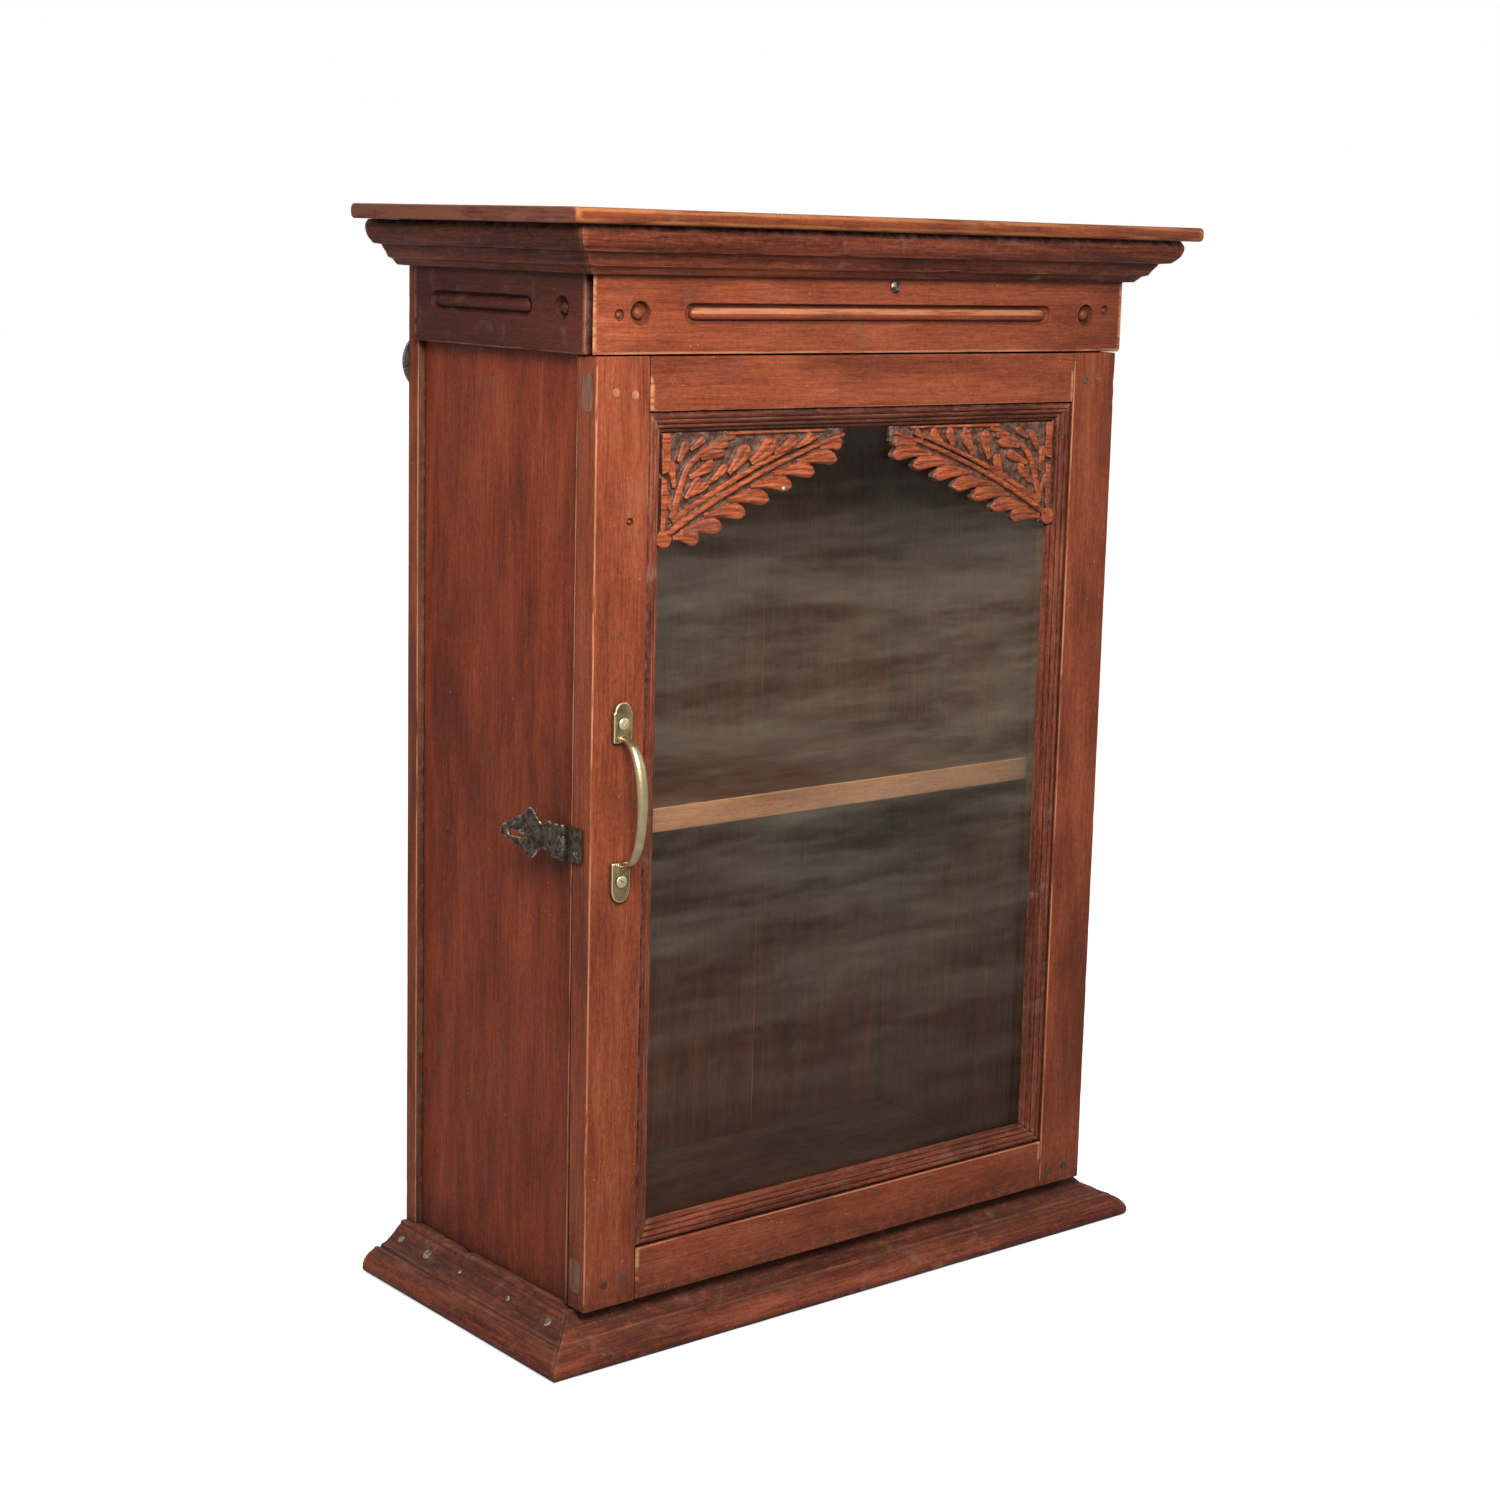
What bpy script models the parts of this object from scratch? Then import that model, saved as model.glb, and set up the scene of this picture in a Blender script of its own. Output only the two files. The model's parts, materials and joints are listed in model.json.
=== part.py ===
"""Glazed teak hanging cabinet with one door, one shelf and an iron hasp.

Frame: X is the width, Y the depth with the door at -Y, Z is up. The origin is at the
centre of the bounding box's bottom face. Every length below is in millimetres.
"""

import math

import bmesh
import bpy
from mathutils import Matrix, Vector

MM = 0.001
GAP = 0.3            # clearance left between two pieces that touch
OVERCUT = 4.0        # how far a helper solid reaches past what it cuts
KNUCKLE_PLAY = 0.5   # clearance between a knuckle and the edge notched round it

# Overall size
HEIGHT = 750.0
BACK_Y = 129.15      # rear face of the back planks
DOOR_FRONT_Y = -92.25
HANGER_T = 2.0

# Carcass
SIDE_OUTER_X = 225.5
SIDE_T = 18.0
PLANK_T = 12.7
BACK_HALF_W = 230.4
TOP_BOARD_T = 10.0
TOP_BOARD_HALF_W = 275.4
TOP_BOARD_FRONT_Y = -131.45
FLOOR_Z = (28.0, 44.0)
CEILING_Z = (647.0, 663.0)
SHELF_Z = (343.0, 360.0)
SHELF_FRONT_Y = -62.0
CLEAT = 12.0
CLEAT_SET_BACK = (12.0, 8.0)   # how far a cleat stops behind the shelf's front and before the back
BOARD_EDGE = 0.8
TOP_BOARD_EDGE = 2.6

# Frieze, cornice and base
FRIEZE_HALF_W = 233.9
FRIEZE_BOTTOM_Z = 663.3
FRIEZE_SIDE_BACK_Y = 107.75
FRIEZE_SET_BACK = 0.2      # how far the frieze's face lies behind the door's
FRIEZE_NAIL = (13.9, 704.2)
FRIEZE_NAIL_R = 4.0
FRIEZE_NAIL_RISE = 1.8
CORNICE_Z = 709.5
GROOVE_HALF_LEN = 163.0
GROOVE_Z = 686.0
GROOVE_HALF_H = 7.0
GROOVE_DEPTH = 4.0
REED_R = 3.6
SIDE_GROOVE_Y = (-25.0, 95.0)
BOSS_X = 197.6
SIDE_BOSS_Y = -58.0
BOSS_R = 8.5
BOSS_DEPTH = 2.6
DOME_R = 6.5
DOME_TOP_R = 3.5
SIDE_CARVING_RISE = 2.0    # how much higher the side carving sits than the front one

# Door
DOOR_HALF_W = 230.5
DOOR_Z = (34.0, 659.3)
DOOR_T = 22.5
STILE_W = 41.8
TOP_RAIL_H = 35.0
BOTTOM_RAIL_H = 36.0
TENON_T = 14.0
TENON_H = 23.0
TENON_FROM_OPENING = 0.8   # shoulder between the tenon and the rail's inner edge
TENON_FRONT_GAP = 4.0
STILE_EDGE = 0.9
PEG_R = 3.0
STICKING_W = 13.6
STICKING_DEPTH = 11.0
STICKING_SET_BACK = 0.8    # how far the glass moulding's face lies behind the door's
GLASS_T = 3.0
BEAD_W = 9.0

# Carved corners
SPANDREL_T = 8.0
SPANDREL_LOBES = 7
SPANDREL_TIP_X = 14.0
SPANDREL_TIP_DROP = 6.0    # how far the free edge starts below the top at the tip
SPANDREL_FOOT_W = 14.0
SPANDREL_FOOT_Z = 542.0
SPANDREL_BOTTOM_Z = 538.0
LOBE_OVERLAP = 0.46        # a lobe's radius as a share of the step between lobes

# Handle
HANDLE_X = -208.0
HANDLE_Z = (309.7, 440.9)
FOOT_W = 17.0
FOOT_H = 26.5
FOOT_T = 3.0
GRIP_R = 4.0
GRIP_OUT = 29.0
HANDLE_SCREW_INSET = 14.0
HANDLE_HOLE_R = 2.4
SCREW_R = 4.0
SCREW_TOP_R = 2.4
SCREW_RISE = 1.6

# Door hinges
HINGE_X = 234.0
HINGE_Y = -69.6
HINGE_H = 50.0
HINGE_Z = (120.0, 573.0)
KNUCKLE_R = 3.2
PIN_R = 1.3
LEAF_T = 1.4
LEAF_W = 23.0
MIDDLE_KNUCKLE_H = 18.4
PIN_STANDS_OUT = 1.0

# Hasp and staple, laid out with the hasp closed
HASP_X = -234.0
HASP_Y = -66.25
HASP_Z = 347.0
HASP_H = 22.0
HASP_KNUCKLE_R = 3.0
HASP_PIN_R = 1.2
HASP_PLATE_T = 1.6
HASP_MIDDLE_H = 9.8
HASP_LEAF_W = 18.5
HASP_WING_DROOP = 0.86   # the lower wing's height as a share of the upper one's
HASP_SLOT_HALF_H = 2.3
HASP_SLOT_PLAY = 1.8
HASP_LIFT_DEG = 14.0     # how far the hasp stands lifted off the staple at rest
STAPLE_FROM_PIN = 40.0
STAPLE_HALF_W = 5.5
STAPLE_WIRE_R = 1.3
STAPLE_TOP_X = -238.9
STAPLE_DEPTH = 9.0

# Hangers
HANGER_R = 22.0
HANGER_X = 212.0
HANGER_Z = 645.0
HANGER_HOLE_R = 6.0
HANGER_POCKET_R = 10.0
HANGER_POCKET_DEPTH = 8.0

COLOURS = {
    "teak_front": ((0.36, 0.095, 0.035), 0.50, 0.0),
    "teak_side": ((0.20, 0.042, 0.022), 0.50, 0.0),
    "teak_moulding": ((0.17, 0.045, 0.025), 0.55, 0.0),
    "teak_inside": ((0.13, 0.055, 0.030), 0.70, 0.0),
    "teak_carved": ((0.40, 0.120, 0.045), 0.55, 0.0),
    "peg": ((0.50, 0.300, 0.180), 0.65, 0.0),
    "glass": ((0.55, 0.60, 0.58), 0.05, 0.0),
    "brass": ((0.48, 0.340, 0.150), 0.35, 1.0),
    "iron": ((0.10, 0.090, 0.080), 0.50, 1.0),
}

DOOR_BACK_Y = DOOR_FRONT_Y + DOOR_T
CARCASS_FRONT_Y = DOOR_BACK_Y + GAP
CARCASS_BACK_Y = BACK_Y - PLANK_T - GAP
TOP_BOARD_Z = HEIGHT - TOP_BOARD_T
SIDE_INNER_X = SIDE_OUTER_X - SIDE_T
OPENING_X = DOOR_HALF_W - STILE_W
OPENING_Z = (DOOR_Z[0] + BOTTOM_RAIL_H, DOOR_Z[1] - TOP_RAIL_H)
GLASS_FRONT_Y = DOOR_FRONT_Y + STICKING_SET_BACK + STICKING_DEPTH + GAP
FRIEZE_FACE_Y = DOOR_FRONT_Y + FRIEZE_SET_BACK
PEG_PLACES = (
    ("top_left_outer", -215.5, 636.7), ("top_left_inner", -200.7, 635.2),
    ("top_right_outer", 214.0, 641.8), ("top_right_inner", 200.2, 640.0),
    ("bottom_left_outer", -214.5, 50.5), ("bottom_left_inner", -199.6, 52.1),
    ("bottom_right_outer", 213.5, 46.5), ("bottom_right_inner", 198.6, 45.3),
)

# Outlines of the mouldings: (projection, height) pairs, listed anticlockwise.
CORNICE_PROFILE = (
    (0, 0), (7.0, 0.4), (8.6, 1.4), (12.4, 6.4), (17.4, 12.6), (18.6, 13.6), (24.8, 14.6),
    (28.4, 18.6), (30.4, 23.4), (30.4, 27.2), (28.4, 30.2), (0, 30.2),
)
BASE_PROFILE = (
    (0, 0), (37.5, 0), (40.4, 2.4), (41.0, 6.2), (39.2, 10.8), (35.4, 14.6), (31.4, 16.8),
    (30.8, 18.0), (25.4, 18.2), (20.8, 20.4), (15.4, 24.8), (11.4, 29.0), (9.4, 33.0), (0, 33.0),
)
STICKING_PROFILE = (
    (0, 0), (13.6, 0), (13.6, 3.4), (11.2, 5.6), (10.2, 5.6), (9.0, 8.2), (6.6, 8.2),
    (5.8, 9.6), (4.2, 10.6), (2.6, 11.0), (0, 9.4),
)


# ---------------------------------------------------------------- building tools

def clear_scene():
    """Remove every object of the open file."""
    for obj in list(bpy.data.objects):
        bpy.data.objects.remove(obj, do_unlink=True)


def new_collection(name):
    """Make a collection under the scene's own."""
    collection = bpy.data.collections.new(name)
    bpy.context.scene.collection.children.link(collection)
    return collection


def make_material(name, kind):
    """Give a piece its own Principled material of one of the named kinds."""
    colour, roughness, metallic = COLOURS[kind]
    material = bpy.data.materials.new(name + "_finish")
    material.use_nodes = True
    shader = material.node_tree.nodes["Principled BSDF"]
    shader.inputs["Base Color"].default_value = (*colour, 1.0)
    shader.inputs["Roughness"].default_value = roughness
    shader.inputs["Metallic"].default_value = metallic
    if kind == "glass":
        shader.inputs["Transmission Weight"].default_value = 0.9
    return material


def add_part(name, mesh, kind):
    """Put a mesh in the cabinet's collection as a named piece."""
    obj = bpy.data.objects.new(name, mesh)
    PARTS.objects.link(obj)
    if kind:
        mesh.materials.append(make_material(name, kind))
    return obj


def box(name, low, high, kind, edge=0.0):
    """A box between two corners, its long edges eased by a bevel."""
    low = Vector(low) * MM
    high = Vector(high) * MM
    work = bmesh.new()
    bmesh.ops.create_cube(work, size=1.0, matrix=Matrix.Diagonal((*(high - low), 1.0)))
    mesh = bpy.data.meshes.new(name)
    work.to_mesh(mesh)
    work.free()
    obj = add_part(name, mesh, kind)
    obj.location = (low + high) / 2
    if edge:
        bevel = obj.modifiers.new("eased_edges", "BEVEL")
        bevel.width = edge * MM
        bevel.segments = 1
    return obj


def cylinder(name, centre, axis, radius, length, kind, sides=16, top_radius=None):
    """A cylinder or cone frustum about a centre point, along an axis."""
    work = bmesh.new()
    end_radius = radius if top_radius is None else top_radius
    bmesh.ops.create_cone(
        work, cap_ends=True, segments=sides, radius1=radius * MM, radius2=end_radius * MM,
        depth=length * MM, matrix=Vector(axis).to_track_quat("Z", "Y").to_matrix().to_4x4(),
    )
    mesh = bpy.data.meshes.new(name)
    work.to_mesh(mesh)
    work.free()
    mesh.shade_smooth()
    mesh.set_sharp_from_angle(angle=math.radians(40))
    obj = add_part(name, mesh, kind)
    obj.location = Vector(centre) * MM
    return obj


def curve_to_mesh(curve_obj, name):
    """Turn a curve object into a closed mesh, and remove the curve."""
    graph = bpy.context.evaluated_depsgraph_get()
    mesh = bpy.data.meshes.new_from_object(curve_obj.evaluated_get(graph))
    mesh.transform(curve_obj.matrix_world)
    bpy.data.objects.remove(curve_obj, do_unlink=True)
    work = bmesh.new()
    work.from_mesh(mesh)
    bmesh.ops.remove_doubles(work, verts=work.verts, dist=1e-6)
    bmesh.ops.recalc_face_normals(work, faces=work.faces)
    work.to_mesh(mesh)
    work.free()
    mesh.name = name
    return mesh


def outline_mesh(name, points, thickness):
    """A flat outline in XY, thickened by half each way along Z."""
    curve = bpy.data.curves.new(name, "CURVE")
    curve.dimensions = "2D"
    curve.fill_mode = "BOTH"
    curve.extrude = thickness * MM / 2
    spline = curve.splines.new("POLY")
    spline.points.add(len(points) - 1)
    for point, (x, y) in zip(spline.points, points):
        point.co = (x * MM, y * MM, 0.0, 1.0)
    spline.use_cyclic_u = True
    curve_obj = bpy.data.objects.new(name, curve)
    bpy.context.scene.collection.objects.link(curve_obj)
    bpy.context.view_layer.update()
    return curve_to_mesh(curve_obj, name)


def facing(right, up, centre=(0, 0, 0)):
    """Matrix that stands an XY outline up: its X along right, its Y along up."""
    right = Vector(right)
    up = Vector(up)
    rows = Matrix((right, up, right.cross(up))).transposed()
    return Matrix.Translation(Vector(centre) * MM) @ rows.to_4x4()


def plate(name, points, thickness, matrix, kind):
    """A flat plate of any outline, stood up by a matrix."""
    mesh = outline_mesh(name, points, thickness)
    mesh.transform(matrix)
    return add_part(name, mesh, kind)


def moulding(name, profile, outward, up, corner, length, mitres, kind):
    """A straight moulding whose ends are cut square (0) or mitred (+1 out, -1 in).

    corner is the middle of its run, at profile point (0, 0). The run goes along
    outward x up, and mitres gives its near end and its far end.
    """
    mesh = outline_mesh(name, profile, length)
    half = length * MM / 2
    for vertex in mesh.vertices:
        end = 1 if vertex.co.z > 0 else 0
        side = 1 if end else -1
        vertex.co.z = side * (half + mitres[end] * vertex.co.x)
    mesh.transform(facing(outward, up))
    mesh.shade_flat()
    obj = add_part(name, mesh, kind)
    obj.location = Vector(corner) * MM
    return obj


def arc(centre, radius, start_deg, end_deg, steps):
    """Points along an arc, both ends included."""
    angles = [math.radians(start_deg + (end_deg - start_deg) * i / steps) for i in range(steps + 1)]
    return [(centre[0] + radius * math.cos(a), centre[1] + radius * math.sin(a)) for a in angles]


def as_cutter(obj):
    """Move a helper solid to the cutters' collection, out of sight."""
    PARTS.objects.unlink(obj)
    CUTTERS.objects.link(obj)
    obj.hide_render = True
    obj.display_type = "WIRE"
    return obj


def boolean(obj, other, operation):
    """Cut an object with a helper solid, or join the helper to it."""
    modifier = obj.modifiers.new(other.name, "BOOLEAN")
    modifier.operation = operation
    modifier.solver = "EXACT"
    modifier.object = other


def cut(obj, *cutters):
    """Cut one or more helper solids out of an object."""
    for cutter in cutters:
        boolean(obj, cutter, "DIFFERENCE")


def join(obj, *others):
    """Unite one or more helper solids with an object."""
    for other in others:
        boolean(obj, other, "UNION")


def pivot(name, place):
    """An empty on a joint's axis."""
    empty = bpy.data.objects.new(name, None)
    empty.empty_display_size = 0.03
    empty.location = Vector(place) * MM
    PARTS.objects.link(empty)
    return empty


def carry(parent, *pieces):
    """Parent pieces to a pivot without moving them."""
    for piece in pieces:
        piece.parent = parent
        piece.matrix_parent_inverse = Matrix.Translation(-parent.location)


# ---------------------------------------------------------------- carcass

def build_carcass():
    """Two sides, floor, ceiling, top board, shelf on two cleats and three back planks."""
    sides = {}
    for label, sign in (("left", -1), ("right", 1)):
        edges = sorted((sign * SIDE_OUTER_X, sign * SIDE_INNER_X))
        sides[label] = box(
            label + "_side_board", (edges[0], CARCASS_FRONT_Y, 0),
            (edges[1], CARCASS_BACK_Y, TOP_BOARD_Z - GAP), "teak_side", BOARD_EDGE,
        )
        inner = sign * (SIDE_INNER_X - GAP)
        cleat = sorted((inner, inner - sign * CLEAT))
        box(
            "shelf_cleat_" + label,
            (cleat[0], SHELF_FRONT_Y + CLEAT_SET_BACK[0], SHELF_Z[0] - GAP - CLEAT),
            (cleat[1], CARCASS_BACK_Y - CLEAT_SET_BACK[1], SHELF_Z[0] - GAP), "teak_inside", BOARD_EDGE,
        )
    reach = SIDE_INNER_X - GAP
    for name, front, heights in (
        ("bottom_board", CARCASS_FRONT_Y, FLOOR_Z), ("ceiling_board", CARCASS_FRONT_Y, CEILING_Z),
        ("shelf", SHELF_FRONT_Y, SHELF_Z),
    ):
        box(
            name, (-reach, front, heights[0]), (reach, CARCASS_BACK_Y, heights[1]), "teak_inside",
            BOARD_EDGE,
        )
    box(
        "top_board", (-TOP_BOARD_HALF_W, TOP_BOARD_FRONT_Y, TOP_BOARD_Z),
        (TOP_BOARD_HALF_W, BACK_Y, HEIGHT), "teak_front", TOP_BOARD_EDGE,
    )
    plank_w = 2 * BACK_HALF_W / 3
    planks = {}
    for i, label in enumerate(("left", "centre", "right")):
        left = -BACK_HALF_W + i * plank_w
        planks[label] = box(
            "back_plank_" + label, (left + (GAP if i else 0), BACK_Y - PLANK_T, 0),
            (left + plank_w, BACK_Y, TOP_BOARD_Z - GAP), "teak_inside", BOARD_EDGE,
        )
    return sides, planks


def stadium(half_length, radius, steps):
    """Outline of a slot with round ends, centred on the origin."""
    centre = half_length - radius
    right = arc((centre, 0), radius, -90, 90, steps)
    left = arc((-centre, 0), radius, 90, 270, steps)
    return right + left


def carve(board, face, along, span, boss_at):
    """Sink a reeded channel and round domed bosses into a frieze board's outer face.

    face is a point on the board's outer face at the channel's height, along the board's
    length, span the channel's two ends and boss_at the bosses' places along the board.
    """
    along = Vector(along)
    up = Vector((0, 0, 1))
    outward = along.cross(up)
    face = Vector(face)
    middle = face + along * (span[0] + span[1]) / 2
    length = span[1] - span[0]
    channel = plate(
        board.name + "_channel", stadium(length / 2, GROOVE_HALF_H, 6), 2 * GROOVE_DEPTH,
        facing(along, up, middle), None,
    )
    cut(board, as_cutter(channel))
    reed = cylinder(
        board.name + "_reed", middle - outward * GROOVE_DEPTH, along, REED_R,
        length - 2 * GROOVE_HALF_H, None, 12,
    )
    join(board, as_cutter(reed))
    for i, place in enumerate(boss_at):
        centre = face + along * place
        cup = cylinder(
            "%s_cup_%d" % (board.name, i), centre, outward, BOSS_R, 2 * BOSS_DEPTH, None, 18,
        )
        dome = cylinder(
            "%s_dome_%d" % (board.name, i), centre - outward * BOSS_DEPTH, outward, DOME_R,
            2 * BOSS_DEPTH, None, 14, DOME_TOP_R,
        )
        cut(board, as_cutter(cup))
        join(board, as_cutter(dome))


def build_frieze():
    """Frieze boards, mitred at the front corners, with channels and bosses."""
    height = TOP_BOARD_Z - GAP - FRIEZE_BOTTOM_Z
    middle_z = FRIEZE_BOTTOM_Z + height / 2
    face_y = FRIEZE_FACE_Y
    back_y = CARCASS_FRONT_Y - GAP
    inner_x = SIDE_OUTER_X + GAP / 2
    mitre = FRIEZE_HALF_W - inner_x
    right_half = [(FRIEZE_HALF_W, face_y), (inner_x, face_y + mitre), (inner_x, back_y)]
    outline = right_half + [(-x, y) for x, y in reversed(right_half)]
    flat = facing((1, 0, 0), (0, 1, 0), (0, 0, middle_z))
    front = plate("frieze_front", outline, height, flat, "teak_front")
    carve(
        front, (0, face_y, GROOVE_Z), (1, 0, 0), (-GROOVE_HALF_LEN, GROOVE_HALF_LEN),
        (-BOSS_X, BOSS_X),
    )
    for label, sign in (("left", -1), ("right", 1)):
        outline = [
            (sign * FRIEZE_HALF_W, face_y + 1.5 * GAP), (sign * FRIEZE_HALF_W, FRIEZE_SIDE_BACK_Y),
            (sign * (inner_x + GAP / 2), FRIEZE_SIDE_BACK_Y),
            (sign * (inner_x + GAP / 2), face_y + mitre + GAP),
        ]
        board = plate("frieze_" + label, outline, height, flat, "teak_side")
        carve(
            board, (sign * FRIEZE_HALF_W, 0, GROOVE_Z + SIDE_CARVING_RISE), (0, sign, 0),
            sorted(sign * y for y in SIDE_GROOVE_Y), (sign * SIDE_BOSS_Y,),
        )
    cylinder(
        "frieze_nail", (FRIEZE_NAIL[0], face_y - GAP - FRIEZE_NAIL_RISE / 2, FRIEZE_NAIL[1]),
        (0, -1, 0), FRIEZE_NAIL_R, FRIEZE_NAIL_RISE, "iron", 12, SCREW_TOP_R,
    )


def build_edge_mouldings():
    """Mitred cornice above and sloped base moulding below, on the front and both sides."""
    sets = (
        ("cornice_", CORNICE_PROFILE, CORNICE_Z, FRIEZE_HALF_W + GAP, FRIEZE_FACE_Y - GAP),
        ("base_", BASE_PROFILE, 0.0, SIDE_OUTER_X + GAP, CARCASS_FRONT_Y - GAP),
    )
    for label, profile, z, half_width, front_y in sets:
        moulding(
            label + "front_moulding", profile, (0, -1, 0), (0, 0, 1), (0, front_y, z),
            2 * half_width - GAP, (1, 1), "teak_moulding",
        )
        run = BACK_Y - front_y
        for side, sign in (("left", -1), ("right", 1)):
            mitres = (0, 1) if sign > 0 else (1, 0)
            piece = moulding(
                label + side + "_moulding", profile, (sign, 0, 0), (0, 0, 1),
                (sign * half_width, front_y + run / 2 + GAP / 2, z), run - GAP, mitres,
                "teak_moulding",
            )
            if label == "base_":
                notch_for_plank(piece, sign)


def notch_for_plank(piece, sign):
    """Cut a base moulding's back end clear of the back plank's edge."""
    across = sorted((sign * (SIDE_OUTER_X - GAP), sign * (BACK_HALF_W + GAP)))
    top_z = max(height for _, height in BASE_PROFILE) + OVERCUT
    notch = box(
        piece.name + "_notch", (across[0], CARCASS_BACK_Y, -OVERCUT),
        (across[1], BACK_Y + OVERCUT, top_z), None,
    )
    cut(piece, as_cutter(notch))


def build_hangers(planks):
    """Two round iron plates, each with a nail hole over a pocket in the back plank."""
    for label, sign in (("left", -1), ("right", 1)):
        disc = cylinder(
            "wall_hanger_" + label, (sign * HANGER_X, BACK_Y + GAP + HANGER_T / 2, HANGER_Z),
            (0, 1, 0), HANGER_R, HANGER_T, "iron", 32,
        )
        hole_z = HANGER_Z + HANGER_HOLE_R
        hole = cylinder(
            "hanger_hole_" + label, (sign * HANGER_X, BACK_Y + HANGER_T, hole_z),
            (0, 1, 0), HANGER_HOLE_R, 4 * HANGER_T, None, 20,
        )
        pocket = cylinder(
            "hanger_pocket_" + label, (sign * HANGER_X, BACK_Y, hole_z),
            (0, 1, 0), HANGER_POCKET_R, 2 * HANGER_POCKET_DEPTH, None, 20,
        )
        cut(disc, as_cutter(hole))
        cut(planks[label], as_cutter(pocket))


# ---------------------------------------------------------------- door

def build_door_frame():
    """Two stiles and two rails with pegged through tenons."""
    pieces = {}
    for label, sign in (("left", -1), ("right", 1)):
        edges = sorted((sign * DOOR_HALF_W, sign * OPENING_X))
        pieces[label] = box(
            "door_%s_stile" % label, (edges[0], DOOR_FRONT_Y, DOOR_Z[0]),
            (edges[1], DOOR_BACK_Y, DOOR_Z[1]), "teak_front", STILE_EDGE,
        )
    tenon_y = (DOOR_FRONT_Y + TENON_FRONT_GAP, DOOR_FRONT_Y + TENON_FRONT_GAP + TENON_T)
    for label, z0, z1, tenon_z in (
        ("top", OPENING_Z[1], DOOR_Z[1], OPENING_Z[1] + TENON_FROM_OPENING),
        ("bottom", DOOR_Z[0], OPENING_Z[0], OPENING_Z[0] - TENON_FROM_OPENING - TENON_H),
    ):
        reach = OPENING_X - GAP
        rail = box(
            "door_%s_rail" % label, (-reach, DOOR_FRONT_Y, z0), (reach, DOOR_BACK_Y, z1),
            "teak_front", 0.0,
        )
        tenon = box(
            label + "_tenon", (-DOOR_HALF_W, tenon_y[0], tenon_z),
            (DOOR_HALF_W, tenon_y[1], tenon_z + TENON_H), None,
        )
        mortise = box(
            label + "_mortise", (-DOOR_HALF_W - OVERCUT, tenon_y[0] - GAP, tenon_z - GAP),
            (DOOR_HALF_W + OVERCUT, tenon_y[1] + GAP, tenon_z + TENON_H + GAP), None,
        )
        join(rail, as_cutter(tenon))
        as_cutter(mortise)
        cut(pieces["left"], mortise)
        cut(pieces["right"], mortise)
        pieces[label] = rail
    return pieces


def build_pegs(frame):
    """Round pegs through each joint of the door frame, flush at the back."""
    pegs = []
    for label, x, z in PEG_PLACES:
        peg = cylinder(
            "peg_" + label, (x, DOOR_FRONT_Y + DOOR_T / 2 - GAP, z), (0, -1, 0), PEG_R, DOOR_T,
            "peg", 10,
        )
        hole = cylinder(
            "peg_hole_" + label, (x, DOOR_FRONT_Y + DOOR_T / 2, z), (0, -1, 0), PEG_R + GAP,
            DOOR_T + 2 * OVERCUT, None, 10,
        )
        as_cutter(hole)
        stile = "left" if x < 0 else "right"
        rail = "bottom" if z < HEIGHT / 2 else "top"
        cut(frame[stile], hole)
        cut(frame[rail], hole)
        pegs.append(peg)
    return pegs


def opening_strips(prefix, profile, y, kind):
    """Four strips with inside mitres round the door's opening, profile height towards -Y."""
    strips = []
    width = 2 * OPENING_X - 2 * GAP
    height = OPENING_Z[1] - OPENING_Z[0] - 2 * GAP
    middle_z = (OPENING_Z[0] + OPENING_Z[1]) / 2
    places = (
        ("left", (1, 0, 0), (-width / 2, y, middle_z), height - 2 * GAP),
        ("right", (-1, 0, 0), (width / 2, y, middle_z), height - 2 * GAP),
        ("top", (0, 0, -1), (0, y, middle_z + height / 2), width),
        ("bottom", (0, 0, 1), (0, y, middle_z - height / 2), width),
    )
    for label, outward, corner, length in places:
        strips.append(moulding(
            prefix + label, profile, outward, (0, -1, 0), corner, length, (-1, -1), kind,
        ))
    return strips


def build_glazing():
    """Moulding in front, glass, and plain beads behind that hold it."""
    pieces = opening_strips(
        "glass_moulding_", STICKING_PROFILE, GLASS_FRONT_Y - GAP, "teak_moulding",
    )
    pieces.append(box(
        "glass_pane", (-OPENING_X + 2 * GAP, GLASS_FRONT_Y, OPENING_Z[0] + 2 * GAP),
        (OPENING_X - 2 * GAP, GLASS_FRONT_Y + GLASS_T, OPENING_Z[1] - 2 * GAP), "glass",
    ))
    bead_depth = DOOR_BACK_Y - (GLASS_FRONT_Y + GLASS_T + GAP)
    bead = ((0, 0), (BEAD_W, 0), (BEAD_W, bead_depth), (0, bead_depth))
    pieces += opening_strips("glazing_bead_", bead, DOOR_BACK_Y, "teak_inside")
    return pieces


def spandrel_outline():
    """Carved corner: straight along the frame, leaf lobes along its free edge."""
    inner_x = OPENING_X - GAP - STICKING_W - GAP
    top_z = OPENING_Z[1] - GAP - STICKING_W - GAP
    tip = Vector((SPANDREL_TIP_X, top_z - SPANDREL_TIP_DROP))
    foot = Vector((inner_x - SPANDREL_FOOT_W, SPANDREL_FOOT_Z))
    step = (foot - tip) / SPANDREL_LOBES
    slant = math.degrees(math.atan2(step.y, step.x))
    points = [(inner_x, top_z), (tip.x + 2.0, top_z)]
    for i in range(SPANDREL_LOBES):
        middle = tip + step * (i + 0.5)
        points += arc(middle, step.length * LOBE_OVERLAP, slant + 170, slant + 370, 5)
    points += [(inner_x - 4.0, SPANDREL_BOTTOM_Z), (inner_x, SPANDREL_BOTTOM_Z + 2.0)]
    return points


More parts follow.
